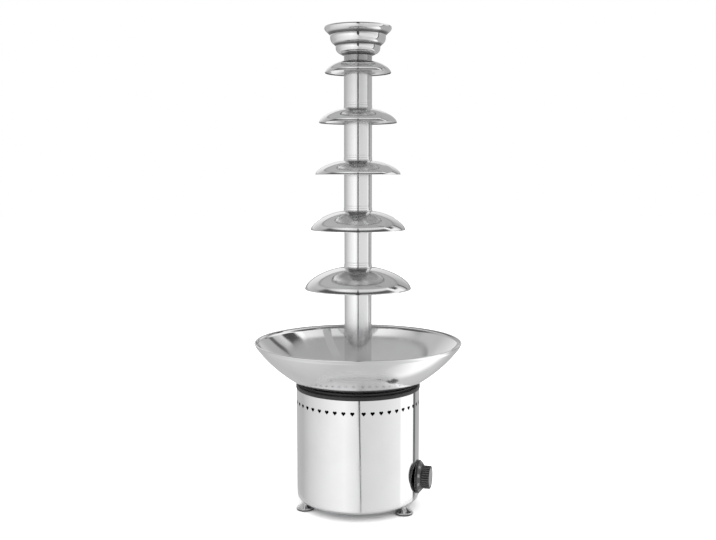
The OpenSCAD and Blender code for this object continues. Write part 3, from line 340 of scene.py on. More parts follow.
def feed(tree, socket, value):
    """Sets a socket to a number or colour, or links another socket to it."""
    if isinstance(value, bpy.types.NodeSocket):
        tree.links.new(value, socket)
    elif socket.type == "RGBA":
        colour = value if isinstance(value, tuple) else (value, value, value)
        socket.default_value = (*colour, 1.0)
    else:
        socket.default_value = value


def shader_node(tree, kind, **inputs):
    """New node with its inputs set by name."""
    made = tree.nodes.new(kind)
    for key, value in inputs.items():
        feed(tree, made.inputs[key], value)
    return made


def math_node(tree, operation, *values):
    """Math node whose inputs are numbers or sockets; returns its output."""
    made = tree.nodes.new("ShaderNodeMath")
    made.operation = operation
    for socket, value in zip(made.inputs, values):
        feed(tree, socket, value)
    return made.outputs[0]


def ramp_node(tree, factor, stops):
    """Colour ramp from (position, grey) stops; returns its colour output."""
    made = tree.nodes.new("ShaderNodeValToRGB")
    elements = made.color_ramp.elements
    while len(elements) < len(stops):
        elements.new(1.0)
    for element, (position, value) in zip(elements, stops):
        element.position = position
        element.color = (value, value, value, 1.0)
    tree.links.new(factor, made.inputs[0])
    return made.outputs["Color"]


def range_node(tree, value, low, high, to_low=0.0, to_high=1.0):
    """Maps a socket's range smoothly to another; returns the result."""
    made = tree.nodes.new("ShaderNodeMapRange")
    made.interpolation_type = "SMOOTHSTEP"
    for socket, number in zip(made.inputs, (value, low, high, to_low, to_high)):
        feed(tree, socket, number)
    return made.outputs[0]


def mix_colour(tree, factor, a, b, blend="MIX"):
    """Colour mix of numbers, colours or sockets; returns its colour output."""
    made = tree.nodes.new("ShaderNodeMix")
    made.data_type = "RGBA"
    made.blend_type = blend
    for socket, value in zip((made.inputs["Factor"], *made.inputs[6:8]), (factor, a, b)):
        feed(tree, socket, value)
    return made.outputs[2]


def mirror_rays(tree):
    """Light path node, and 1 for the rays by which mirrors and glass see."""
    path = tree.nodes.new("ShaderNodeLightPath")
    seen = math_node(tree, "MAXIMUM", path.outputs["Is Glossy Ray"],
                     path.outputs["Is Transmission Ray"])
    return path, seen


def new_material(name, base_color, metallic, roughness):
    """Principled material; returns it with its tree, shader and object coordinates."""
    material = bpy.data.materials.new(name)
    material.use_nodes = True
    tree = material.node_tree
    shader = tree.nodes["Principled BSDF"]
    feed(tree, shader.inputs["Base Color"], base_color)
    feed(tree, shader.inputs["Metallic"], metallic)
    feed(tree, shader.inputs["Roughness"], roughness)
    place = tree.nodes.new("ShaderNodeTexCoord").outputs["Object"]
    return material, tree, shader, place


def noise(tree, place, scale, detail=3.0, flatten=1.0):
    """Noise value at a scale per metre, flattened along the axis."""
    mapping = shader_node(tree, "ShaderNodeMapping", Scale=(1.0, 1.0, flatten))
    tree.links.new(place, mapping.inputs["Vector"])
    made = shader_node(tree, "ShaderNodeTexNoise", Vector=mapping.outputs[0], Scale=scale,
                       Detail=detail, Roughness=0.55)
    return made.outputs["Fac"]


def vary(tree, shader, pattern, dark, light, low, high):
    """Lets a shader's colour and roughness follow a noise pattern."""
    rough = range_node(tree, pattern, *NOISE_RANGE, low, high)
    tree.links.new(rough, shader.inputs["Roughness"])
    tree.links.new(mix_colour(tree, pattern, dark, light), shader.inputs["Base Color"])


def add_bump(tree, shader, height, strength):
    """Fine bump on a shader from a height socket."""
    made = shader_node(tree, "ShaderNodeBump", Height=height, Strength=strength,
                       Distance=BUMP_DEPTH)
    tree.links.new(made.outputs[0], shader.inputs["Normal"])


def polished_steel(name, low, high):
    """Spun and polished stainless steel: faint haze, reflections drawn out along the axis."""
    material, tree, shader, place = new_material(name, (0.80, 0.80, 0.805), 1.0, low)
    haze = noise(tree, place, scale=16.0, detail=4.0)
    rings = noise(tree, place, scale=40.0, detail=2.0, flatten=26.0)
    blend = math_node(tree, "ADD", math_node(tree, "MULTIPLY", haze, 0.7),
                      math_node(tree, "MULTIPLY", rings, 0.3))
    rough = range_node(tree, blend, 0.36, 0.68, low, high)
    tint = mix_colour(tree, range_node(tree, haze, *NOISE_RANGE),
                      (0.785, 0.785, 0.79), (0.815, 0.815, 0.82))
    grain = tree.nodes.new("ShaderNodeTangent")
    grain.direction_type = "RADIAL"
    grain.axis = "Z"
    tree.links.new(rough, shader.inputs["Roughness"])
    tree.links.new(tint, shader.inputs["Base Color"])
    tree.links.new(grain.outputs[0], shader.inputs["Tangent"])
    shader.inputs["Anisotropic"].default_value = 1.0
    shader.inputs["Anisotropic Rotation"].default_value = 0.25
    return material


def creased_steel(name, low, high):
    """Polished steel of the crown, with painted shade and more roughness on its neck and in the
    corners under its steps.
    """
    material = polished_steel(name, low, high)
    tree = material.node_tree
    shader = tree.nodes["Principled BSDF"]
    split = tree.nodes.new("ShaderNodeSeparateXYZ")
    tree.links.new(tree.nodes["Texture Coordinate"].outputs["Object"], split.inputs[0])
    z = split.outputs[2]
    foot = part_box("crown")[0].z + CROWN_NECK_H
    # Painted shade: the neck and a band in the corner under each step get a darker, rougher tint
    crease_shade = range_node(tree, z, foot - NECK_SHADE_BLEND, foot, NECK_SHADE, 0.0)
    for _, rise, _, height in CROWN_STEPS:
        full, end = foot + rise * CREASE_FULL, foot + rise * CREASE_END
        band = math_node(tree, "MULTIPLY", range_node(tree, z, full, end, 1.0, 0.0),
                         range_node(tree, z, foot - CREASE_BELOW, foot))
        crease_shade = math_node(tree, "MAXIMUM", crease_shade, band)
        foot += height
    tint = shader.inputs["Base Color"].links[0].from_socket
    haze = shader.inputs["Roughness"].links[0].from_socket
    rough = math_node(tree, "ADD", haze, math_node(tree, "MULTIPLY", crease_shade, CREASE_ROUGH))
    tree.links.new(mix_colour(tree, crease_shade, tint, CREASE_SHADE_TINT), shader.inputs["Base Color"])
    tree.links.new(rough, shader.inputs["Roughness"])
    return material


def plain_steel(name, dark, light, low, high):
    """Unpolished steel of pressings: even, with a cloudy haze; its darker tints carry painted
    shade.
    """
    material, tree, shader, place = new_material(name, light, 1.0, low)
    vary(tree, shader, noise(tree, place, scale=22.0), dark, light, low, high)
    return material


def satin_steel(name):
    """Turned or brushed inner steel with fine lines round its axis."""
    material, tree, shader, place = new_material(name, (0.6, 0.61, 0.62), 1.0, 0.3)
    lines = noise(tree, place, scale=90.0, flatten=18.0)
    vary(tree, shader, lines, (0.54, 0.55, 0.56), (0.66, 0.67, 0.68), 0.22, 0.42)
    add_bump(tree, shader, lines, 0.08)
    return material


def grained_plastic(name, dark, light, low, high, grain=MOULD_GRAIN):
    """Moulded plastic or rubber: fine spark grain and slight wear in its gloss."""
    material, tree, shader, place = new_material(name, dark, 0.0, (low + high) / 2)
    vary(tree, shader, noise(tree, place, scale=60.0), dark, light, low, high)
    add_bump(tree, shader, noise(tree, place, scale=grain, detail=2.0), 0.12)
    return material


def soft_metal(name, dark, light, low, high):
    """Cast, turned or drawn metal with a slightly uneven tone."""
    material, tree, shader, place = new_material(name, light, 1.0, (low + high) / 2)
    mottle = noise(tree, place, scale=120.0, detail=4.0)
    vary(tree, shader, mottle, dark, light, low, high)
    add_bump(tree, shader, mottle, 0.1)
    return material


def printed_paint(name):
    """Pale ink of the dial numbers, thin in places."""
    material, tree, shader, place = new_material(name, (0.72, 0.72, 0.7), 0.0, 0.5)
    wear = noise(tree, place, scale=900.0, detail=2.0)
    tint = mix_colour(tree, wear, (0.4, 0.4, 0.39), (0.55, 0.55, 0.54))
    tree.links.new(tint, shader.inputs["Base Color"])
    return material


# Name, kind, dark and light tint where the kind has them, and the range of roughness
MATERIALS = {name: make(name, *values) for name, make, *values in (
    ("polished_steel", polished_steel, 0.05, 0.10),
    ("domed_steel", polished_steel, 0.07, 0.11),
    ("drawn_steel", polished_steel, 0.11, 0.15),
    # Crown steel with painted shade in its corners and on its neck
    ("creased_steel", creased_steel, 0.06, 0.11),
    # Dome undersides: rougher unpolished steel, its darker tone partly painted shade
    ("dull_steel", plain_steel, 0.70, 0.74, 0.18, 0.25),
    # Painted shade: dark steel inside the domes' rims and on the feet's bottom edges
    ("dark_steel", plain_steel, 0.12, 0.16, 0.30, 0.40),
    ("dial_grey", grained_plastic, 0.07, 0.09, 0.3, 0.42),
    ("knob_plastic", grained_plastic, *BLACK_TINTS, 0.2, 0.3),
    # Painted highlight on the crests of the knob's ribs
    ("worn_plastic", grained_plastic, 0.07, 0.11, 0.25, 0.4),
    # Painted light: lighter grey back of the knob, which the can mirrors
    ("back_plastic", grained_plastic, 0.26, 0.32, 0.4, 0.55),
    ("satin_steel", satin_steel),
    ("black_plastic", grained_plastic, *BLACK_TINTS, 0.3, 0.42),
    ("black_rubber", grained_plastic, 0.014, 0.024, 0.5, 0.7, RUBBER_GRAIN),
    ("brass", soft_metal, (0.62, 0.46, 0.2), (0.78, 0.6, 0.3), 0.22, 0.38),
    ("ivory_plastic", grained_plastic, (0.76, 0.71, 0.6), (0.84, 0.8, 0.7), 0.4, 0.55, IVORY_GRAIN),
    ("cast_aluminium", soft_metal, (0.58, 0.59, 0.6), (0.7, 0.71, 0.72), 0.35, 0.5),
    ("knob_face", soft_metal, (0.5, 0.5, 0.51), (0.6, 0.6, 0.61), 0.3, 0.42),
    ("copper", soft_metal, (0.6, 0.28, 0.15), (0.74, 0.38, 0.22), 0.25, 0.4),
    ("dial_ink", printed_paint),
)}


def new_object(name, data):
    """New object in the scene."""
    made = bpy.data.objects.new(name, data)
    bpy.context.scene.collection.objects.link(made)
    return made


def mesh_data(name, mesh):
    """Turns a bmesh into mesh data."""
    data = bpy.data.meshes.new(name)
    mesh.to_mesh(data)
    mesh.free()
    return data


def smooth(data):
    """Smooth shading, apart from sharp edges."""
    data.shade_smooth()
    data.set_sharp_from_angle(angle=SHARP_ANGLE)


def evaluated_mesh(thing):
    """Mesh of an object with its modifiers, or of a text."""
    shaped = thing.evaluated_get(bpy.context.evaluated_depsgraph_get())
    return bpy.data.meshes.new_from_object(shaped)


def finish_mesh(name, mesh, material, body, nodes):
    """Turns a bmesh into a smooth piece that rides on a body and stands for CAD nodes."""
    bmesh.ops.remove_doubles(mesh, verts=mesh.verts, dist=SAME_POINT)
    bmesh.ops.recalc_face_normals(mesh, faces=mesh.faces)
    data = mesh_data(name, mesh)
    smooth(data)
    data.materials.append(MATERIALS[material])
    piece = new_object(name, data)
    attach(piece, body)
    if nodes:
        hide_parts(*nodes)
    return piece


def paint_faces(piece, materials, choose):
    """Adds materials to a piece and chooses one for each face, 0 for the piece's own."""
    for material in materials:
        piece.data.materials.append(MATERIALS[material])
    for face in piece.data.polygons:
        face.material_index = choose(face)


def polar(r, angle, z=0.0):
    """Point at a radius, an angle and a height."""
    return Vector((r * math.cos(angle), r * math.sin(angle), z))


def turn_angles(count):
    """Angles of equal steps round a full turn."""
    return [2 * math.pi * i / count for i in range(count)]


def lathe_into(mesh, outline, segments, place=Matrix.Identity(4), radius_at=None):
    """Revolves a closed (radius, height) outline about local Z and adds it to a bmesh."""
    rows = []
    for r, z in outline:
        if r < ON_AXIS:
            rows.append([mesh.verts.new(place @ Vector((0.0, 0.0, z)))] * segments)
            continue
        row = []
        for angle in turn_angles(segments):
            reach = radius_at(angle, r, z) if radius_at else r
            row.append(mesh.verts.new(place @ polar(reach, angle, z)))
        rows.append(row)
    for a, b in zip(rows, rows[1:] + rows[:1]):
        for i in range(segments):
            j = (i + 1) % segments
            corners = list(dict.fromkeys((a[i], a[j], b[j], b[i])))
            if len(corners) > 2:
                mesh.faces.new(corners)


def lathe(name, outline, material, body, nodes, segments=SEGMENTS,
          place=Matrix.Identity(4), radius_at=None):
    """A revolved piece."""
    mesh = bmesh.new()
    lathe_into(mesh, outline, segments, place, radius_at)
    return finish_mesh(name, mesh, material, body, nodes)


def stitch(mesh, a, b):
    """Faces between two closed rows of vertices."""
    for i in range(len(a)):
        j = (i + 1) % len(a)
        mesh.faces.new((a[i], a[j], b[j], b[i]))


def open_lathe(mesh, path):
    """Revolves an open path with the can's own segments."""
    rows = [[mesh.verts.new(polar(r, a, z)) for a in turn_angles(SEGMENTS)] for r, z in path]
    for a, b in zip(rows, rows[1:]):
        stitch(mesh, a, b)


def arc(centre, r, start, end, steps):
    """Points on an arc, angles in degrees."""
    cx, cz = centre
    angles = [math.radians(start + (end - start) * i / steps) for i in range(steps + 1)]
    return [(cx + r * math.cos(a), cz + r * math.sin(a)) for a in angles]


def curve(a, b, c, steps):
    """Quadratic curve from a to c that leans towards b."""
    points = []
    for i in range(steps + 1):
        t = i / steps
        weights = ((1 - t) * (1 - t), 2 * t * (1 - t), t * t)
        points.append(tuple(sum(w * p[k] for w, p in zip(weights, (a, b, c))) for k in (0, 1)))
    return points


def straight(a, b, steps):
    """Points from a to b."""
    return [(a[0] + (b[0] - a[0]) * i / steps, a[1] + (b[1] - a[1]) * i / steps)
            for i in range(steps + 1)]


def joined(*runs):
    """Runs of points as one run, without repeats."""
    points = []
    for run in runs:
        for p in run:
            if not points or math.dist(points[-1], p) > SAME_POINT:
                points.append(p)
    return points


def offset(path, distance):
    """Path moved to its left by a distance, mitred at its corners."""
    moved = []
    last = len(path) - 1
    for i, (x, z) in enumerate(path):
        before = Vector(path[max(i, 1)]) - Vector(path[max(i, 1) - 1])
        after = Vector(path[min(i, last - 1) + 1]) - Vector(path[min(i, last - 1)])
        a = Vector((-before.y, before.x)).normalized()
        b = Vector((-after.y, after.x)).normalized()
        middle = (a + b).normalized()
        reach = distance / middle.dot(a)
        moved.append((x + middle.x * reach, z + middle.y * reach))
    return moved


def round_end(outer, inner, steps=6):
    """Half round edge that leads from the end of one face of a sheet to the other."""
    a, b = Vector(outer), Vector(inner)
    middle = (a + b) / 2
    across = a - middle
    along = Vector((-across.y, across.x))
    angles = [math.pi * i / steps for i in range(1, steps)]
    return [tuple(middle + across * math.cos(t) + along * math.sin(t)) for t in angles]


def sheet_outline(path, thickness):
    """Closed outline of a sheet with a half round far edge, to the left of a path if positive."""
    inner = offset(path, thickness)
    if thickness > 0:
        cap = round_end(path[-1], inner[-1])
    else:
        cap = round_end(inner[-1], path[-1])[::-1]
    return path + cap + inner[::-1]


def axes_matrix(*columns):
    """Matrix with these vectors as its three axes and its origin."""
    place = Matrix.Identity(4)
    for k, column in enumerate(columns):
        for row in range(3):
            place[row][k] = column[row]
    return place


def wall_frame(bearing, height):
    """Frame on the can's wall: x along the wall, y up, z outwards from the tower's axis."""
    along = Vector((-math.sin(bearing), math.cos(bearing), 0.0))
    return axes_matrix(along, UP, polar(1.0, bearing), UP * height)


def control_height():
    """Height of the knob's axis, which the switch shares."""
    return sum(c.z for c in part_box("knob_cap")) / 2


def tube_radius():
    """Outer radius of the tower's plain wall."""
    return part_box("tower_tube_2")[1].x - LIP_PROUD


def heart_outline(w, h):
    """Heart with its point down, centred on its height."""
    lobe = w * HEART_LOBE
    x, y = w / 2 - lobe, h / 2 - lobe
    right = [p for p in arc((x, y), lobe, *HEART_ARC, 12) if p[0] > 0.01 * MM]
    left = [(-px, py) for px, py in reversed(right)]
    notch = (0.0, y + math.sqrt(max(lobe * lobe - x * x, 0.0)))
    return [(0.0, -h / 2)] + right + [notch] + left


def circle_outline(r, steps=40):
    """Circle round the origin."""
    return [(r * math.cos(a), r * math.sin(a)) for a in turn_angles(steps)]


def box_outline(w, h, steps=6):
    """Rectangle round the origin, with points along its sides."""
    corners = [(-w / 2, -h / 2), (w / 2, -h / 2), (w / 2, h / 2), (-w / 2, h / 2)]
    points = []
    for a, b in zip(corners, corners[1:] + corners[:1]):
        points += straight(a, b, steps)[:-1]
    return points


def inside(point, loop):
    """Whether a point is inside a closed loop."""
    x, y = point
    odd = False
    for (ax, ay), (bx, by) in zip(loop, loop[1:] + loop[:1]):
        if (ay > y) != (by > y) and x < ax + (y - ay) * (bx - ax) / (by - ay):
            odd = not odd
    return odd


def near(point, loop):
    """Whether a point is inside a loop or close to its corners."""
    return inside(point, loop) or any(math.dist(point, p) < HOLE_MARGIN for p in loop)


def wall_holes(radius, top):
    """Loops of the heart vents and the control holes on the can's unrolled wall."""
    holes = []
    vent_step = (2 * math.pi - VENT_FRONT_GAP) / (VENT_COUNT - 1)
    for i in range(VENT_COUNT):
        bearing = -math.pi / 2 + VENT_FRONT_GAP / 2 + vent_step * i
        holes.append((bearing, top - VENT_DROP, heart_outline(VENT_W, VENT_H)))
    control_z = control_height()
    switch_hole = box_outline(SWITCH_W + 2 * HOLE_GAP, SWITCH_H + 2 * HOLE_GAP)
    low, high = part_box("cable_gland")
    gland_bearing, gland_z = math.atan2(low.y + high.y, low.x + high.x), (low.z + high.z) / 2
    holes.append((KNOB_BEARING, control_z, circle_outline(SPINDLE_HOLE_R)))
    holes.append((SWITCH_BEARING, control_z, switch_hole))
    holes.append((gland_bearing, gland_z, circle_outline(GLAND_R + HOLE_GAP)))
    loops = []
    for bearing, z, outline in holes:
        u = (bearing % (2 * math.pi)) * radius
        loops.append([(u + x, z + y) for x, y in outline])
    return loops


def wall_faces(radius, low, high, loops):
    """Points and faces of the unrolled wall round its holes."""
    turn = 2 * math.pi * radius
    rows = max(2, round((high - low) / WALL_STEP))
    points, edges = [], []
    for k in range(rows + 1):
        for i in range(SEGMENTS + 1):
            p = (turn * i / SEGMENTS, low + (high - low) * k / rows)
            border = k in (0, rows) or i in (0, SEGMENTS)
            if border or not any(near(p, loop) for loop in loops):
                points.append(p)
    for loop in loops:
        start = len(points)
        points += loop
        edges += [(start + i, start + (i + 1) % len(loop)) for i in range(len(loop))]
    flat = delaunay_2d_cdt([Vector(p) for p in points], edges, [], 0, SAME_POINT)
    spots, kept = flat[0], []
    for face in flat[2]:
        middle = sum((spots[i] for i in face), Vector((0.0, 0.0))) / len(face)
        if not any(inside(middle, loop) for loop in loops):
            kept.append(face)
    return spots, kept


def radial_normals(data, radius):
    """Exact normals on the can's outer wall, so that its mirror shows no facets."""
    normals = [Vector(corner.vector) for corner in data.corner_normals]
    for face in data.polygons:
        middle = face.center.xy
        if middle.length < radius - SHEET / 2 or abs(face.normal.z) > WALL_MAX_TILT:
            continue
        if face.normal.xy.dot(middle) < WALL_MIN_OUT * middle.length:
            continue
        for corner in face.loop_indices:
            spot = data.vertices[data.loops[corner].vertex_index].co
            normals[corner] = Vector((spot.x, spot.y, 0.0)).normalized()
    data.normals_split_custom_set(normals)


def base_can():
    """The can: a wall with real heart vents and control holes, a rounded foot and two flanges."""
    low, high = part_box("base_shell")
    radius = (high.x - low.x) / 2
    foot, top = low.z, high.z
    wall_low, wall_high = foot + EDGE_R, top - EDGE_ROUND
    loops = wall_holes(radius, top)
    spots, faces = wall_faces(radius, wall_low, wall_high, loops)
    skins = (radius, radius - SHEET)
    mesh = bmesh.new()
    for r in skins:
        skin = {}
        for i in {i for face in faces for i in face}:
            skin[i] = mesh.verts.new(polar(r, spots[i].x / radius, spots[i].y))
        for face in faces:
            mesh.faces.new([skin[i] for i in face])
    for loop in loops:
        rims = [[mesh.verts.new(polar(r, u / radius, z)) for u, z in loop] for r in skins]
        stitch(mesh, *rims)
    centre = (radius - EDGE_R, foot + EDGE_R)
    lower = joined(
        arc(centre, EDGE_R, 0, -90, 12),
        [(SERVICE_R, foot), (SERVICE_R, foot + SHEET)],
        arc(centre, EDGE_R - SHEET, -90, 0, 12),
    )
    inner_r = radius - FLANGE_W
    upper = joined(
        [(radius, wall_high)],
        arc((radius - EDGE_ROUND, wall_high), EDGE_ROUND, 0, 90, 4),
        [(inner_r, top), (inner_r, top - SHEET)],
        [(radius - SHEET, top - SHEET), (radius - SHEET, wall_high)],
    )
    open_lathe(mesh, lower)
    open_lathe(mesh, upper)
    piece = finish_mesh("can_shell", mesh, "polished_steel", "base",
                        ["base_shell"])
    radial_normals(piece.data, radius)


def support_ring():
    """Black moulded ring: a proud rounded bead below and a recessed neck under the bowl."""
    low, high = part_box("support_ring")
    bead_r = (high.x - low.x) / 2
    base_r = bead_r - RING_PROUD
    inner_r = base_r - RING_W
    neck_r = base_r - RING_RECESS
    foot, top = low.z, high.z
    bead_h = (top - foot) * RING_BEAD_SHARE
    outline = joined(
        [(inner_r, foot)],
        arc((bead_r - RING_ROUND, foot + RING_ROUND), RING_ROUND, -90, 0, 8),
        arc((bead_r - RING_ROUND, foot + bead_h - RING_ROUND), RING_ROUND, 0, 90, 8),
        [(neck_r, foot + bead_h), (neck_r, top), (inner_r, top)],
    )
    lathe("bowl_ring", outline, "black_plastic", "base", ["support_ring"])


def bowl():
    """Spun bowl with a rolled rim, the pegs on its floor and the studs below it."""
    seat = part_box("support_ring")[1].z
    low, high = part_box("bowl")
    rim_r, rim_z = (high.x - low.x) / 2, high.z
    wall_top = (rim_r - WALL_TOP_IN, rim_z - WALL_TOP_DROP)
    bend_point = (BOWL_BEND_R, seat + BOWL_BEND_H)
    outer = joined(
        straight((BOWL_HOLE_R, seat), (BOWL_FLOOR_R, seat), 12),
        curve((BOWL_FLOOR_R, seat), bend_point, wall_top, 56),
    )
    bead = arc((rim_r - BEAD_R, rim_z - BEAD_R), BEAD_R, *BEAD_ARC, 24)
    mesh = bmesh.new()
    lathe_into(mesh, outer + bead + offset(outer, SHEET)[::-1], FINE_SEGMENTS)
    floor_z = seat + SHEET
    peg_top = floor_z + PEG_H
    peg = [(0.0, floor_z), (PEG_R, floor_z), (PEG_R, peg_top - PEG_BEVEL),
           (PEG_R - PEG_BEVEL, peg_top), (0.0, peg_top)]
    peg_ring_r = tube_radius() - TUBE_WALL - PEG_IN
    stud = [(0.0, low.z), (STUD_R - STUD_BEVEL, low.z), (STUD_R, low.z + STUD_BEVEL),
            (STUD_R, seat), (0.0, seat)]
    for outline, bearings, ring_r, segments in (
            (peg, PEG_BEARINGS, peg_ring_r, 32), (stud, STUD_BEARINGS, STUD_RING_R, 24)):
        for bearing in bearings:
            spot = polar(ring_r, math.radians(bearing))
            lathe_into(mesh, outline, segments, Matrix.Translation(spot))
    finish_mesh("spun_bowl", mesh, "polished_steel", "base", ["bowl"])


def tube_outline(node):
    """Closed outline of a tower section: rolled lip, collar, plain wall, shoulder and spigot."""
    low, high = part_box(node)
    lip_r = (high.x - low.x) / 2
    r = lip_r - LIP_PROUD
    collar_r = r + COLLAR_PROUD
    bore = r - TUBE_WALL
    spigot = bore - SLIDE_GAP
    spigot_bore = spigot - TUBE_WALL
    foot, shoulder, top = low.z, high.z - SPIGOT_LEN, high.z
    collar_z, groove_z = foot + COLLAR_H, foot + GROOVE_Z
    return joined(
        [(bore, foot)],
        arc((lip_r - LIP_ROUND, foot + LIP_ROUND), LIP_ROUND, -90, 0, 6),
        arc((lip_r - LIP_ROUND, foot + LIP_FOOT_H - LIP_ROUND), LIP_ROUND, 0, 40, 4),
        [(collar_r, foot + rise) for rise in COLLAR_FOOT],
        [(collar_r, collar_z - drop) for drop in COLLAR_TOP],
        [(collar_r - COLLAR_BEVEL, collar_z), (r, collar_z), (r, collar_z + COLLAR_LAND)],
        [(r, groove_z - GROOVE_LAND), (r, groove_z - GROOVE_R), (r - GROOVE_R, groove_z)],
        [(r, groove_z + GROOVE_R), (r, groove_z + GROOVE_LAND)],
        [(r, shoulder - SHOULDER_LAND), (r, shoulder - SHOULDER_BEVEL)],
        [(r - SHOULDER_BEVEL, shoulder), (spigot, shoulder), (spigot, top - SPIGOT_LEAD_H)],
        [(spigot - SPIGOT_LEAD_IN, top), (spigot_bore, top)],
        [(spigot_bore, shoulder - NECKING[0]), (bore, shoulder - NECKING[1])],
    )


def tower():
    """Five tube sections, the lowest with notches at its foot."""
    for i in TOWER_LEVELS:
        node = "tower_tube_%d" % i
        piece = lathe("tube_%d" % i, tube_outline(node), "drawn_steel", "tower",
                      [node], segments=TUBE_SEGMENTS)
        if i == 1:
            cut_intakes(piece)


def cut_intakes(piece):
    """Cuts the arched notches where the chocolate is drawn in."""
    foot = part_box("tower_tube_1")[0].z
    reach = 2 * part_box("tower_tube_1")[1].x
    half = INTAKE_W / 2
    arch = [(half * math.cos(a), INTAKE_H - half + half * math.sin(a))
            for a in (math.pi * k / ARCH_STEPS for k in range(ARCH_STEPS + 1))]
    loop = arch + [(-half, -INTAKE_BELOW), (half, -INTAKE_BELOW)]
    mesh = bmesh.new()
    for bearing in INTAKE_BEARINGS:
        place = wall_frame(math.radians(bearing), foot)
        near_rim, far_rim = ([mesh.verts.new(place @ Vector((x, y, z))) for x, y in loop]
                             for z in (INTAKE_START, reach))
        mesh.faces.new(near_rim)
        mesh.faces.new(far_rim[::-1])
        for a in range(len(loop)):
            b = (a + 1) % len(loop)
            mesh.faces.new((near_rim[b], near_rim[a], far_rim[a], far_rim[b]))
    bmesh.ops.recalc_face_normals(mesh, faces=mesh.faces)
    cutter = new_object("intake_cut", mesh_data("intake_cut", mesh))
    cut = piece.modifiers.new("intakes", "BOOLEAN")
    cut.operation = "DIFFERENCE"
    cut.solver = "EXACT"
    cut.object = cutter
    shaped = evaluated_mesh(piece)
    piece.modifiers.clear()
    piece.data = shaped
    smooth(shaped)
    bpy.data.objects.remove(cutter)


def dull_and_shade_below(piece, hem_top):
    """Gives a dome's underside rougher steel whose darker tone is partly painted shade, and paints
    shade on the hem inside its rim, up to a height.
    """
    def face_steel(face):
        if face.center.z < hem_top and face.normal.xy.dot(face.center.xy) < 0:
            return 2
        return 1 if face.normal.z < UNDERSIDE else 0

    paint_faces(piece, ("dull_steel", "dark_steel"), face_steel)


def domes():
    """Five pressed domes; all but the lowest have painted shade on the hem inside the rim."""
    hole_r = tube_radius() - TUBE_WALL
    land_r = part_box("tower_tube_2")[1].x + DOME_LAND_W
    for i in TOWER_LEVELS:
        node = "dome_%d" % i
        low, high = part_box(node)
        rim_r = (high.x - low.x) / 2
        height = high.z - low.z
        path = straight((hole_r, high.z), (land_r, high.z), 3)
        for k in range(1, DOME_STEPS + 1):
            t = math.sin(math.pi / 2 * k / DOME_STEPS)
            share = (1 - t ** DOME_CROWN_POWER) ** DOME_EDGE_POWER
            path.append((land_r + (rim_r - land_r) * t, low.z + height * share))
        piece = lathe("pressed_dome_%d" % i, sheet_outline(path, -SHEET), "domed_steel", "tower",
                      [node], segments=FINE_SEGMENTS)
        dull_and_shade_below(piece, low.z + HEM_H if i > 1 else 0.0)


def crown():
    """Stepped cup on its neck."""
    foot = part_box("crown")[0].z
    neck_r = tube_radius()
    z = foot + CROWN_NECK_H
    path = straight((neck_r, foot), (neck_r, z - CROWN_NECK_BEND), 2)
    start_r = neck_r + CROWN_NECK_FLARE
    for shoulder_r, rise, top_r, height in CROWN_STEPS:
        start, shoulder = Vector((start_r, z)), Vector((shoulder_r, z + rise))
        before = start.lerp(shoulder, 0.5)
        lead = tuple(start.lerp(before, CREASE_LEAD))
        wall_foot = (top_r, z + height * CROWN_WALL_START)
        wall_top = tuple(Vector((top_r, z + height)))
        path = joined(
            path,
            curve(path[-1], (start_r - CREASE_IN, z), lead, 5),
            straight(lead, tuple(before), 3),
            curve(tuple(before), (top_r, z + rise + SHOULDER_LIFT), wall_foot, 20),
            straight(wall_foot, wall_top, 3),
        )
        start_r = top_r + CREASE_IN
        z += height
    lathe("stepped_crown", sheet_outline(path, SHEET), "creased_steel", "crown",
          ["crown"], segments=FINE_SEGMENTS)


def feet():
    """Turned levelling feet: a low polished cone with painted shade on its bottom edge, a waist and
    the stud.
    """
    for i in (1, 2, 3):
        node = "levelling_foot_%d" % i
        low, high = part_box(node)
        r = (high.x - low.x) / 2 + FOOT_PROUD
        cone_start = (r - FOOT_CONE_START[0], FOOT_CONE_START[1])
        cone_lean = (FOOT_NECK_R + FOOT_CONE_LEAN[0], FOOT_CONE_LEAN[1])
        outline = joined(
            [(0.0, 0.0)],
            arc((r - FOOT_EDGE_ROUND, FOOT_EDGE_ROUND), FOOT_EDGE_ROUND, -90, 0, 8),
            arc((r - FOOT_TOP_ROUND, FOOT_TOP_H), FOOT_TOP_ROUND, 0, 55, 8),
            curve(cone_start, cone_lean, (FOOT_NECK_R, FOOT_WAIST_H), 14),
            [(FOOT_NECK_R, FOOT_NECK_H), (FOOT_STUD_R, FOOT_NECK_H)],
            [(FOOT_STUD_R, high.z - FOOT_STUD_BEVEL), (FOOT_STUD_R - FOOT_STUD_BEVEL, high.z)],
            [(0.0, high.z)],
        )
        middle = (low + high) / 2
        foot = lathe("turned_foot_%d" % i, outline, "polished_steel", "foot_%d" % i,
                     [node], segments=FOOT_SEGMENTS,
                     place=Matrix.Translation((middle.x, middle.y, 0.0)))
        # Painted shade: the faces below a height turn dark, where the foot meets the floor
        paint_faces(foot, ("dark_steel",), lambda face: 1 if face.center.z < FOOT_SHADE_H else 0)


def flute_radius(angle, r, z):
    """Radius of the fluted grip at an angle; other rings stay round."""
    fluted = KNOB_GRIP_R - FLUTE_REACH <= r <= KNOB_GRIP_R + SAME_POINT
    if not fluted or z < KNOB_GRIP_Z - ON_AXIS:
        return r
    step = 2 * math.pi / FLUTES
    off = (angle + step / 2) % step - step / 2
    centre = KNOB_GRIP_R + FLUTE_R * FLUTE_OUT
    side = centre * math.sin(off)
    if abs(side) >= FLUTE_R:
        return r
    return min(r, centre * math.cos(off) - math.sqrt(FLUTE_R * FLUTE_R - side * side))


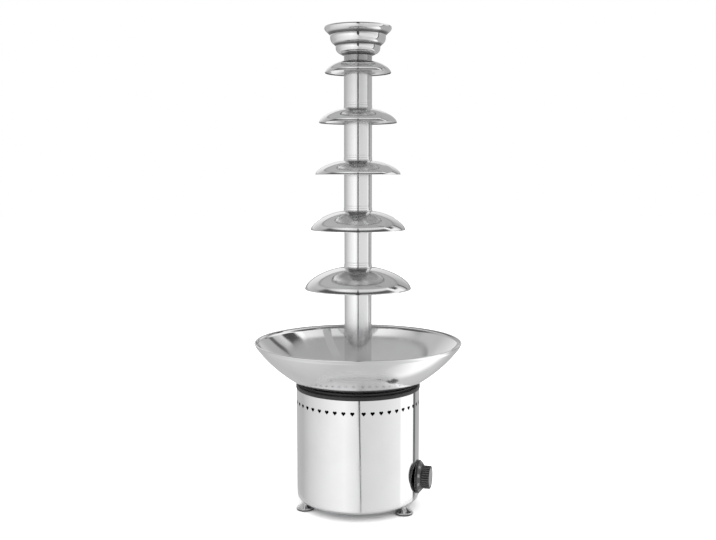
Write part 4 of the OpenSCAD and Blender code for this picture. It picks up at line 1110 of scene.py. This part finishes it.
def grip_outline():
    """Closed outline of the hollow knob: rim, conical skirt, grip, seat of the plate and hub."""
    cap_z = KNOB_LEN - KNOB_CAP_T
    floor_z = cap_z - KNOB_WALL
    hub_z = floor_z - KNOB_WALL
    cap_r = KNOB_CAP_R + KNOB_CAP_GAP
    bore = SPINDLE_R + KNOB_CAP_GAP
    hollow_r = KNOB_GRIP_R - 2 * KNOB_WALL
    skirt_in = KNOB_SKIRT_R - KNOB_WALL
    grip_top = KNOB_LEN - KNOB_GRIP_ROUND
    back_z = KNOB_BACK_ROUND - KNOB_BACK
    rim_z = KNOB_RIM_W - KNOB_RIM_ROUND
    waist_z = KNOB_CONE_Z + KNOB_WAIST_ROUND
    return joined(
        arc((KNOB_SKIRT_R - KNOB_BACK_ROUND, back_z), KNOB_BACK_ROUND, -90, 0, 5),
        arc((KNOB_SKIRT_R - KNOB_RIM_ROUND, rim_z), KNOB_RIM_ROUND, 0, 60, 6),
        straight((KNOB_CONE_R, KNOB_RIM_W), (KNOB_SKIRT_TOP_R, KNOB_CONE_Z), 6),
        arc((KNOB_SKIRT_TOP_R, waist_z), KNOB_WAIST_ROUND, -100, -150, 5),
        [(KNOB_GRIP_R, KNOB_WAIST_Z)],
        straight((KNOB_GRIP_R, KNOB_GRIP_Z), (KNOB_GRIP_R, grip_top), 4),
        arc((KNOB_GRIP_R - KNOB_GRIP_ROUND, grip_top), KNOB_GRIP_ROUND, 0, 90, 6),
        [(KNOB_CAP_R + KNOB_CAP_BEVEL, KNOB_LEN), (cap_r, KNOB_LEN - KNOB_CAP_BEVEL)],
        [(cap_r, cap_z), (0.0, cap_z), (0.0, hub_z), (bore, hub_z), (bore, KNOB_RIM_W)],
        [(KNOB_HUB_R, KNOB_RIM_W), (KNOB_HUB_R, floor_z), (hollow_r, floor_z)],
        [(hollow_r, KNOB_CONE_Z - KNOB_WALL), (skirt_in, KNOB_RIM_W - KNOB_WALL)],
        [(skirt_in, -KNOB_BACK)],
    )


def knob():
    """Black knob with a fluted grip, a conical skirt with plain numbers, and a pale end plate."""
    base_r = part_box("base_shell")[1].x
    place = wall_frame(KNOB_BEARING, control_height())
    place = place @ Matrix.Translation((0.0, 0.0, base_r + KNOB_GAP))
    grip = lathe("knob_grip", grip_outline(), "knob_plastic", "knob",
                 ["control_knob"], segments=FLUTES * FLUTE_SEGMENTS, place=place,
                 radius_at=flute_radius)
    inverse = place.inverted()

    def face_plastic(face):
        spot = inverse @ face.center
        # Painted light: the back facing the can is a lighter grey, so the can mirrors a grey rim
        if spot.z < KNOB_BACK_EDGE:
            return 2
        # Painted highlight: the rib crests get a lighter plastic
        on_rib = spot.xy.length > KNOB_GRIP_R - RIB_DEPTH and spot.z > KNOB_GRIP_Z
        return 1 if on_rib else 0

    paint_faces(grip, ("worn_plastic", "back_plastic"), face_plastic)
    cap_foot, dish = KNOB_LEN - KNOB_CAP_T, KNOB_LEN - KNOB_CAP_DISH
    cap = [
        (0.0, cap_foot), (KNOB_CAP_R, cap_foot), (KNOB_CAP_R, KNOB_LEN - KNOB_CAP_BEVEL),
        (KNOB_CAP_R - KNOB_CAP_BEVEL, KNOB_LEN), (KNOB_CAP_R - KNOB_CAP_RIM[0], KNOB_LEN),
        (KNOB_CAP_R - KNOB_CAP_RIM[1], dish), (0.0, dish),
    ]
    lathe("knob_face_plate", cap, "knob_face", "knob", ["knob_cap"],
          segments=KNOB_CAP_SEGMENTS, place=place)
    outer, inner = Vector((KNOB_CONE_R, KNOB_RIM_W)), Vector((KNOB_SKIRT_TOP_R, KNOB_CONE_Z))
    band = [tuple(outer.lerp(inner, share)) for share in DIAL_BAND]
    outline = offset(band, -DIAL_BAND_LIFT) + offset(band, DIAL_BAND_LIFT)[::-1]
    lathe("dial_band", outline, "dial_grey", "knob", [], segments=DIAL_SEGMENTS,
          place=place)
    dial_numbers(place)


def dial_numbers(place):
    """Plain raised numbers round the knob's skirt."""
    slope = Vector((KNOB_SKIRT_TOP_R - KNOB_CONE_R, KNOB_CONE_Z - KNOB_RIM_W))
    middle_r = (KNOB_SKIRT_TOP_R + KNOB_CONE_R) / 2
    middle_z = (KNOB_RIM_W + KNOB_CONE_Z) / 2
    mesh = bmesh.new()
    for i, word in enumerate(DIAL_NUMBERS):
        font = bpy.data.curves.new("dial_text", "FONT")
        font.body = word
        font.size = DIAL_TEXT_SIZE
        font.align_x = font.align_y = "CENTER"
        font.extrude = DIAL_TEXT_DEPTH
        font.offset = DIAL_TEXT_BOLD
        text = new_object("dial_text", font)
        bpy.context.view_layer.update()
        data = evaluated_mesh(text)
        angle = math.pi / 2 + DIAL_SPAN * (i / (len(DIAL_NUMBERS) - 1) - 0.5)
        radial = polar(1.0, angle)
        across = Vector((math.sin(angle), -math.cos(angle), 0.0))
        upward = -(radial * slope.x + UP * slope.y).normalized()
        normal = across.cross(upward)
        spot = radial * middle_r + UP * middle_z + normal * DIAL_TEXT_LIFT
        data.transform(place @ axes_matrix(across, upward, normal, spot))
        mesh.from_mesh(data)
        bpy.data.objects.remove(text)
        bpy.data.curves.remove(font)
        bpy.data.meshes.remove(data)
    finish_mesh("dial_numbers", mesh, "dial_ink", "knob", [])


def dress_cad_nodes():
    """Gives each CAD node that stays in view the material of its slot."""
    slots = {part["node"]: part["material_slot"] for part in frame["record"]["subparts"]}
    for name, node in frame["nodes"].items():
        material = MATERIALS[slots[name]]
        for place in node.material_slots:
            place.material = material


def studio_world():
    """World of soft panels for the metal to mirror; even light elsewhere, white to the camera."""
    world = bpy.data.worlds.new("studio")
    bpy.context.scene.world = world
    world.use_nodes = True
    world.cycles.sampling_method = "NONE"
    tree = world.node_tree
    tree.nodes.clear()
    split = tree.nodes.new("ShaderNodeSeparateXYZ")
    toward = tree.nodes.new("ShaderNodeTexCoord").outputs["Generated"]
    tree.links.new(toward, split.inputs[0])
    x, y, z = split.outputs

    def calc(operation, *values):
        return math_node(tree, operation, *values)

    def mix(factor, a, b):
        return mix_colour(tree, factor, a, b)

    azimuth = calc("MULTIPLY", calc("ARCTAN2", x, calc("MULTIPLY", y, -1.0)), 180 / math.pi)
    elevation = calc("MULTIPLY", calc("ARCSINE", z), 180 / math.pi)
    turn = calc("ADD", calc("DIVIDE", azimuth, 360.0), 0.5)
    climb = calc("DIVIDE", calc("ADD", elevation, 90.0), 180.0)

    def panels(stops):
        return ramp_node(tree, turn, [(a / 360 + 0.5, level) for a, level in stops])

    def by_height(stops):
        return ramp_node(tree, climb, [((e + 90) / 180, level) for e, level in stops])

    def above(blend):
        return range_node(tree, elevation, *blend)

    def faded(stops, heights):
        return mix_colour(tree, 1.0, panels(stops), by_height(heights), "MULTIPLY")

    pattern = mix(above(NADIR_BLEND), NADIR_LEVEL, panels(FLOOR_PANELS))
    pattern = mix(above(FRONT_BLEND), pattern, faded(FRONT_PANELS, FRONT_HEIGHTS))
    pattern = mix(above(LEVEL_BLEND), pattern, faded(LEVEL_PANELS, LEVEL_HEIGHTS))
    pattern = mix(above(MIDDLE_BLEND), pattern, panels(MIDDLE_PANELS))
    pattern = mix(above(HIGH_BLEND), pattern, panels(HIGH_PANELS))
    shade = calc("MULTIPLY", panels(SHADE_REACH), by_height(SHADE_HEIGHTS))
    pattern = mix(shade, pattern, SHADE_LEVEL)
    side = calc("MULTIPLY", panels(SIDE_REACH), by_height(SIDE_HEIGHTS))
    pattern = mix(side, pattern, panels(SIDE_PANELS))
    away = calc("ABSOLUTE", calc("SUBTRACT", azimuth, by_height(SLIT_MIDDLES)))
    pattern = mix(calc("LESS_THAN", away, by_height(SLIT_WIDTHS)), pattern, SLIT_LEVEL)

    back, up = math.sin(CAP_TILT), math.cos(CAP_TILT)
    cap = calc("ADD", calc("MULTIPLY", y, back), calc("MULTIPLY", z, up))
    low, full, clear = (math.cos(math.radians(CAP_ANGLE + width))
                        for width in (CAP_SOFT, -CAP_SOFT, -CAP_EDGE))
    covered = calc("MULTIPLY", range_node(tree, cap, low, full), above(CAP_BLEND))
    ceiling = mix(range_node(tree, cap, full, clear), CAP_EDGE_LEVEL, panels(TOP_PANELS))
    pattern = mix(covered, pattern, ceiling)

    path, mirror = mirror_rays(tree)
    light = mix(path.outputs["Is Camera Ray"], mix(mirror, DIFFUSE_LEVEL, pattern), 1.0)
    background = shader_node(tree, "ShaderNodeBackground", Color=light)
    output = tree.nodes.new("ShaderNodeOutputWorld")
    tree.links.new(background.outputs[0], output.inputs[0])


def cards():
    """Plain card beside the crown and its dark edge, which only mirrors see."""
    for name, level, start, end in (("card", CARD_LEVEL, CARD_FRONT, CARD_BACK),
                                    ("card_edge", CARD_EDGE_LEVEL, CARD_EDGE, CARD_FRONT)):
        card = new_object(name, bpy.data.meshes.new(name))
        corners = [(*start, CARD_LOW), (*end, CARD_LOW), (*end, CARD_HIGH), (*start, CARD_HIGH)]
        card.data.from_pydata(corners, [], [(0, 1, 2, 3)])
        paint = bpy.data.materials.new(name)
        paint.use_nodes = True
        tree = paint.node_tree
        tree.nodes.clear()
        glow = shader_node(tree, "ShaderNodeEmission", Color=level, Strength=1.0)
        surface = tree.nodes.new("ShaderNodeOutputMaterial")
        tree.links.new(glow.outputs[0], surface.inputs["Surface"])
        card.data.materials.append(paint)
        card.visible_camera = card.visible_diffuse = card.visible_shadow = False


def white_floor():
    """White floor that keeps the object's shadow; away from the object mirrors see through it."""
    mesh = bmesh.new()
    bmesh.ops.create_grid(mesh, x_segments=1, y_segments=1, size=FLOOR_SIZE / 2)
    floor = new_object("floor", mesh_data("floor", mesh))
    material, tree, shader, place = new_material("floor_white", FLOOR_COLOUR, 0.0, FLOOR_ROUGH)
    shown = shader_node(tree, "ShaderNodeBsdfDiffuse", Color=FLOOR_SEEN)
    clear = tree.nodes.new("ShaderNodeBsdfTransparent")
    reach = tree.nodes.new("ShaderNodeVectorMath")
    reach.operation = "LENGTH"
    tree.links.new(place, reach.inputs[0])
    far = range_node(tree, reach.outputs["Value"], FLOOR_NEAR_R, FLOOR_FAR_R)
    path, mirror = mirror_rays(tree)
    base = shader.outputs[0]
    for factor, other in ((path.outputs["Is Camera Ray"], shown),
                          (math_node(tree, "MULTIPLY", far, mirror), clear)):
        share = tree.nodes.new("ShaderNodeMixShader")
        for socket, source in zip(share.inputs, (factor, base, other.outputs[0])):
            tree.links.new(source, socket)
        base = share.outputs[0]
    tree.links.new(base, tree.nodes["Material Output"].inputs["Surface"])
    floor.data.materials.append(material)


def camera():
    """Camera at the photograph's viewing angle."""
    data = bpy.data.cameras.new("camera")
    data.lens = CAMERA_LENS
    data.sensor_width = CAMERA_SENSOR
    seen = new_object("camera", data)
    seen.location = (0.0, -CAMERA_DISTANCE, CAMERA_HEIGHT)
    seen.rotation_euler = (math.pi / 2 - CAMERA_DOWN, 0.0, 0.0)
    bpy.context.scene.camera = seen


bpy.context.scene.view_settings.view_transform = "Standard"
bpy.context.scene.cycles.max_bounces = 16
bpy.context.scene.cycles.glossy_bounces = 10
camera()
studio_world()
cards()
white_floor()
dress_cad_nodes()
base_can()
support_ring()
bowl()
tower()
domes()
crown()
feet()
knob()
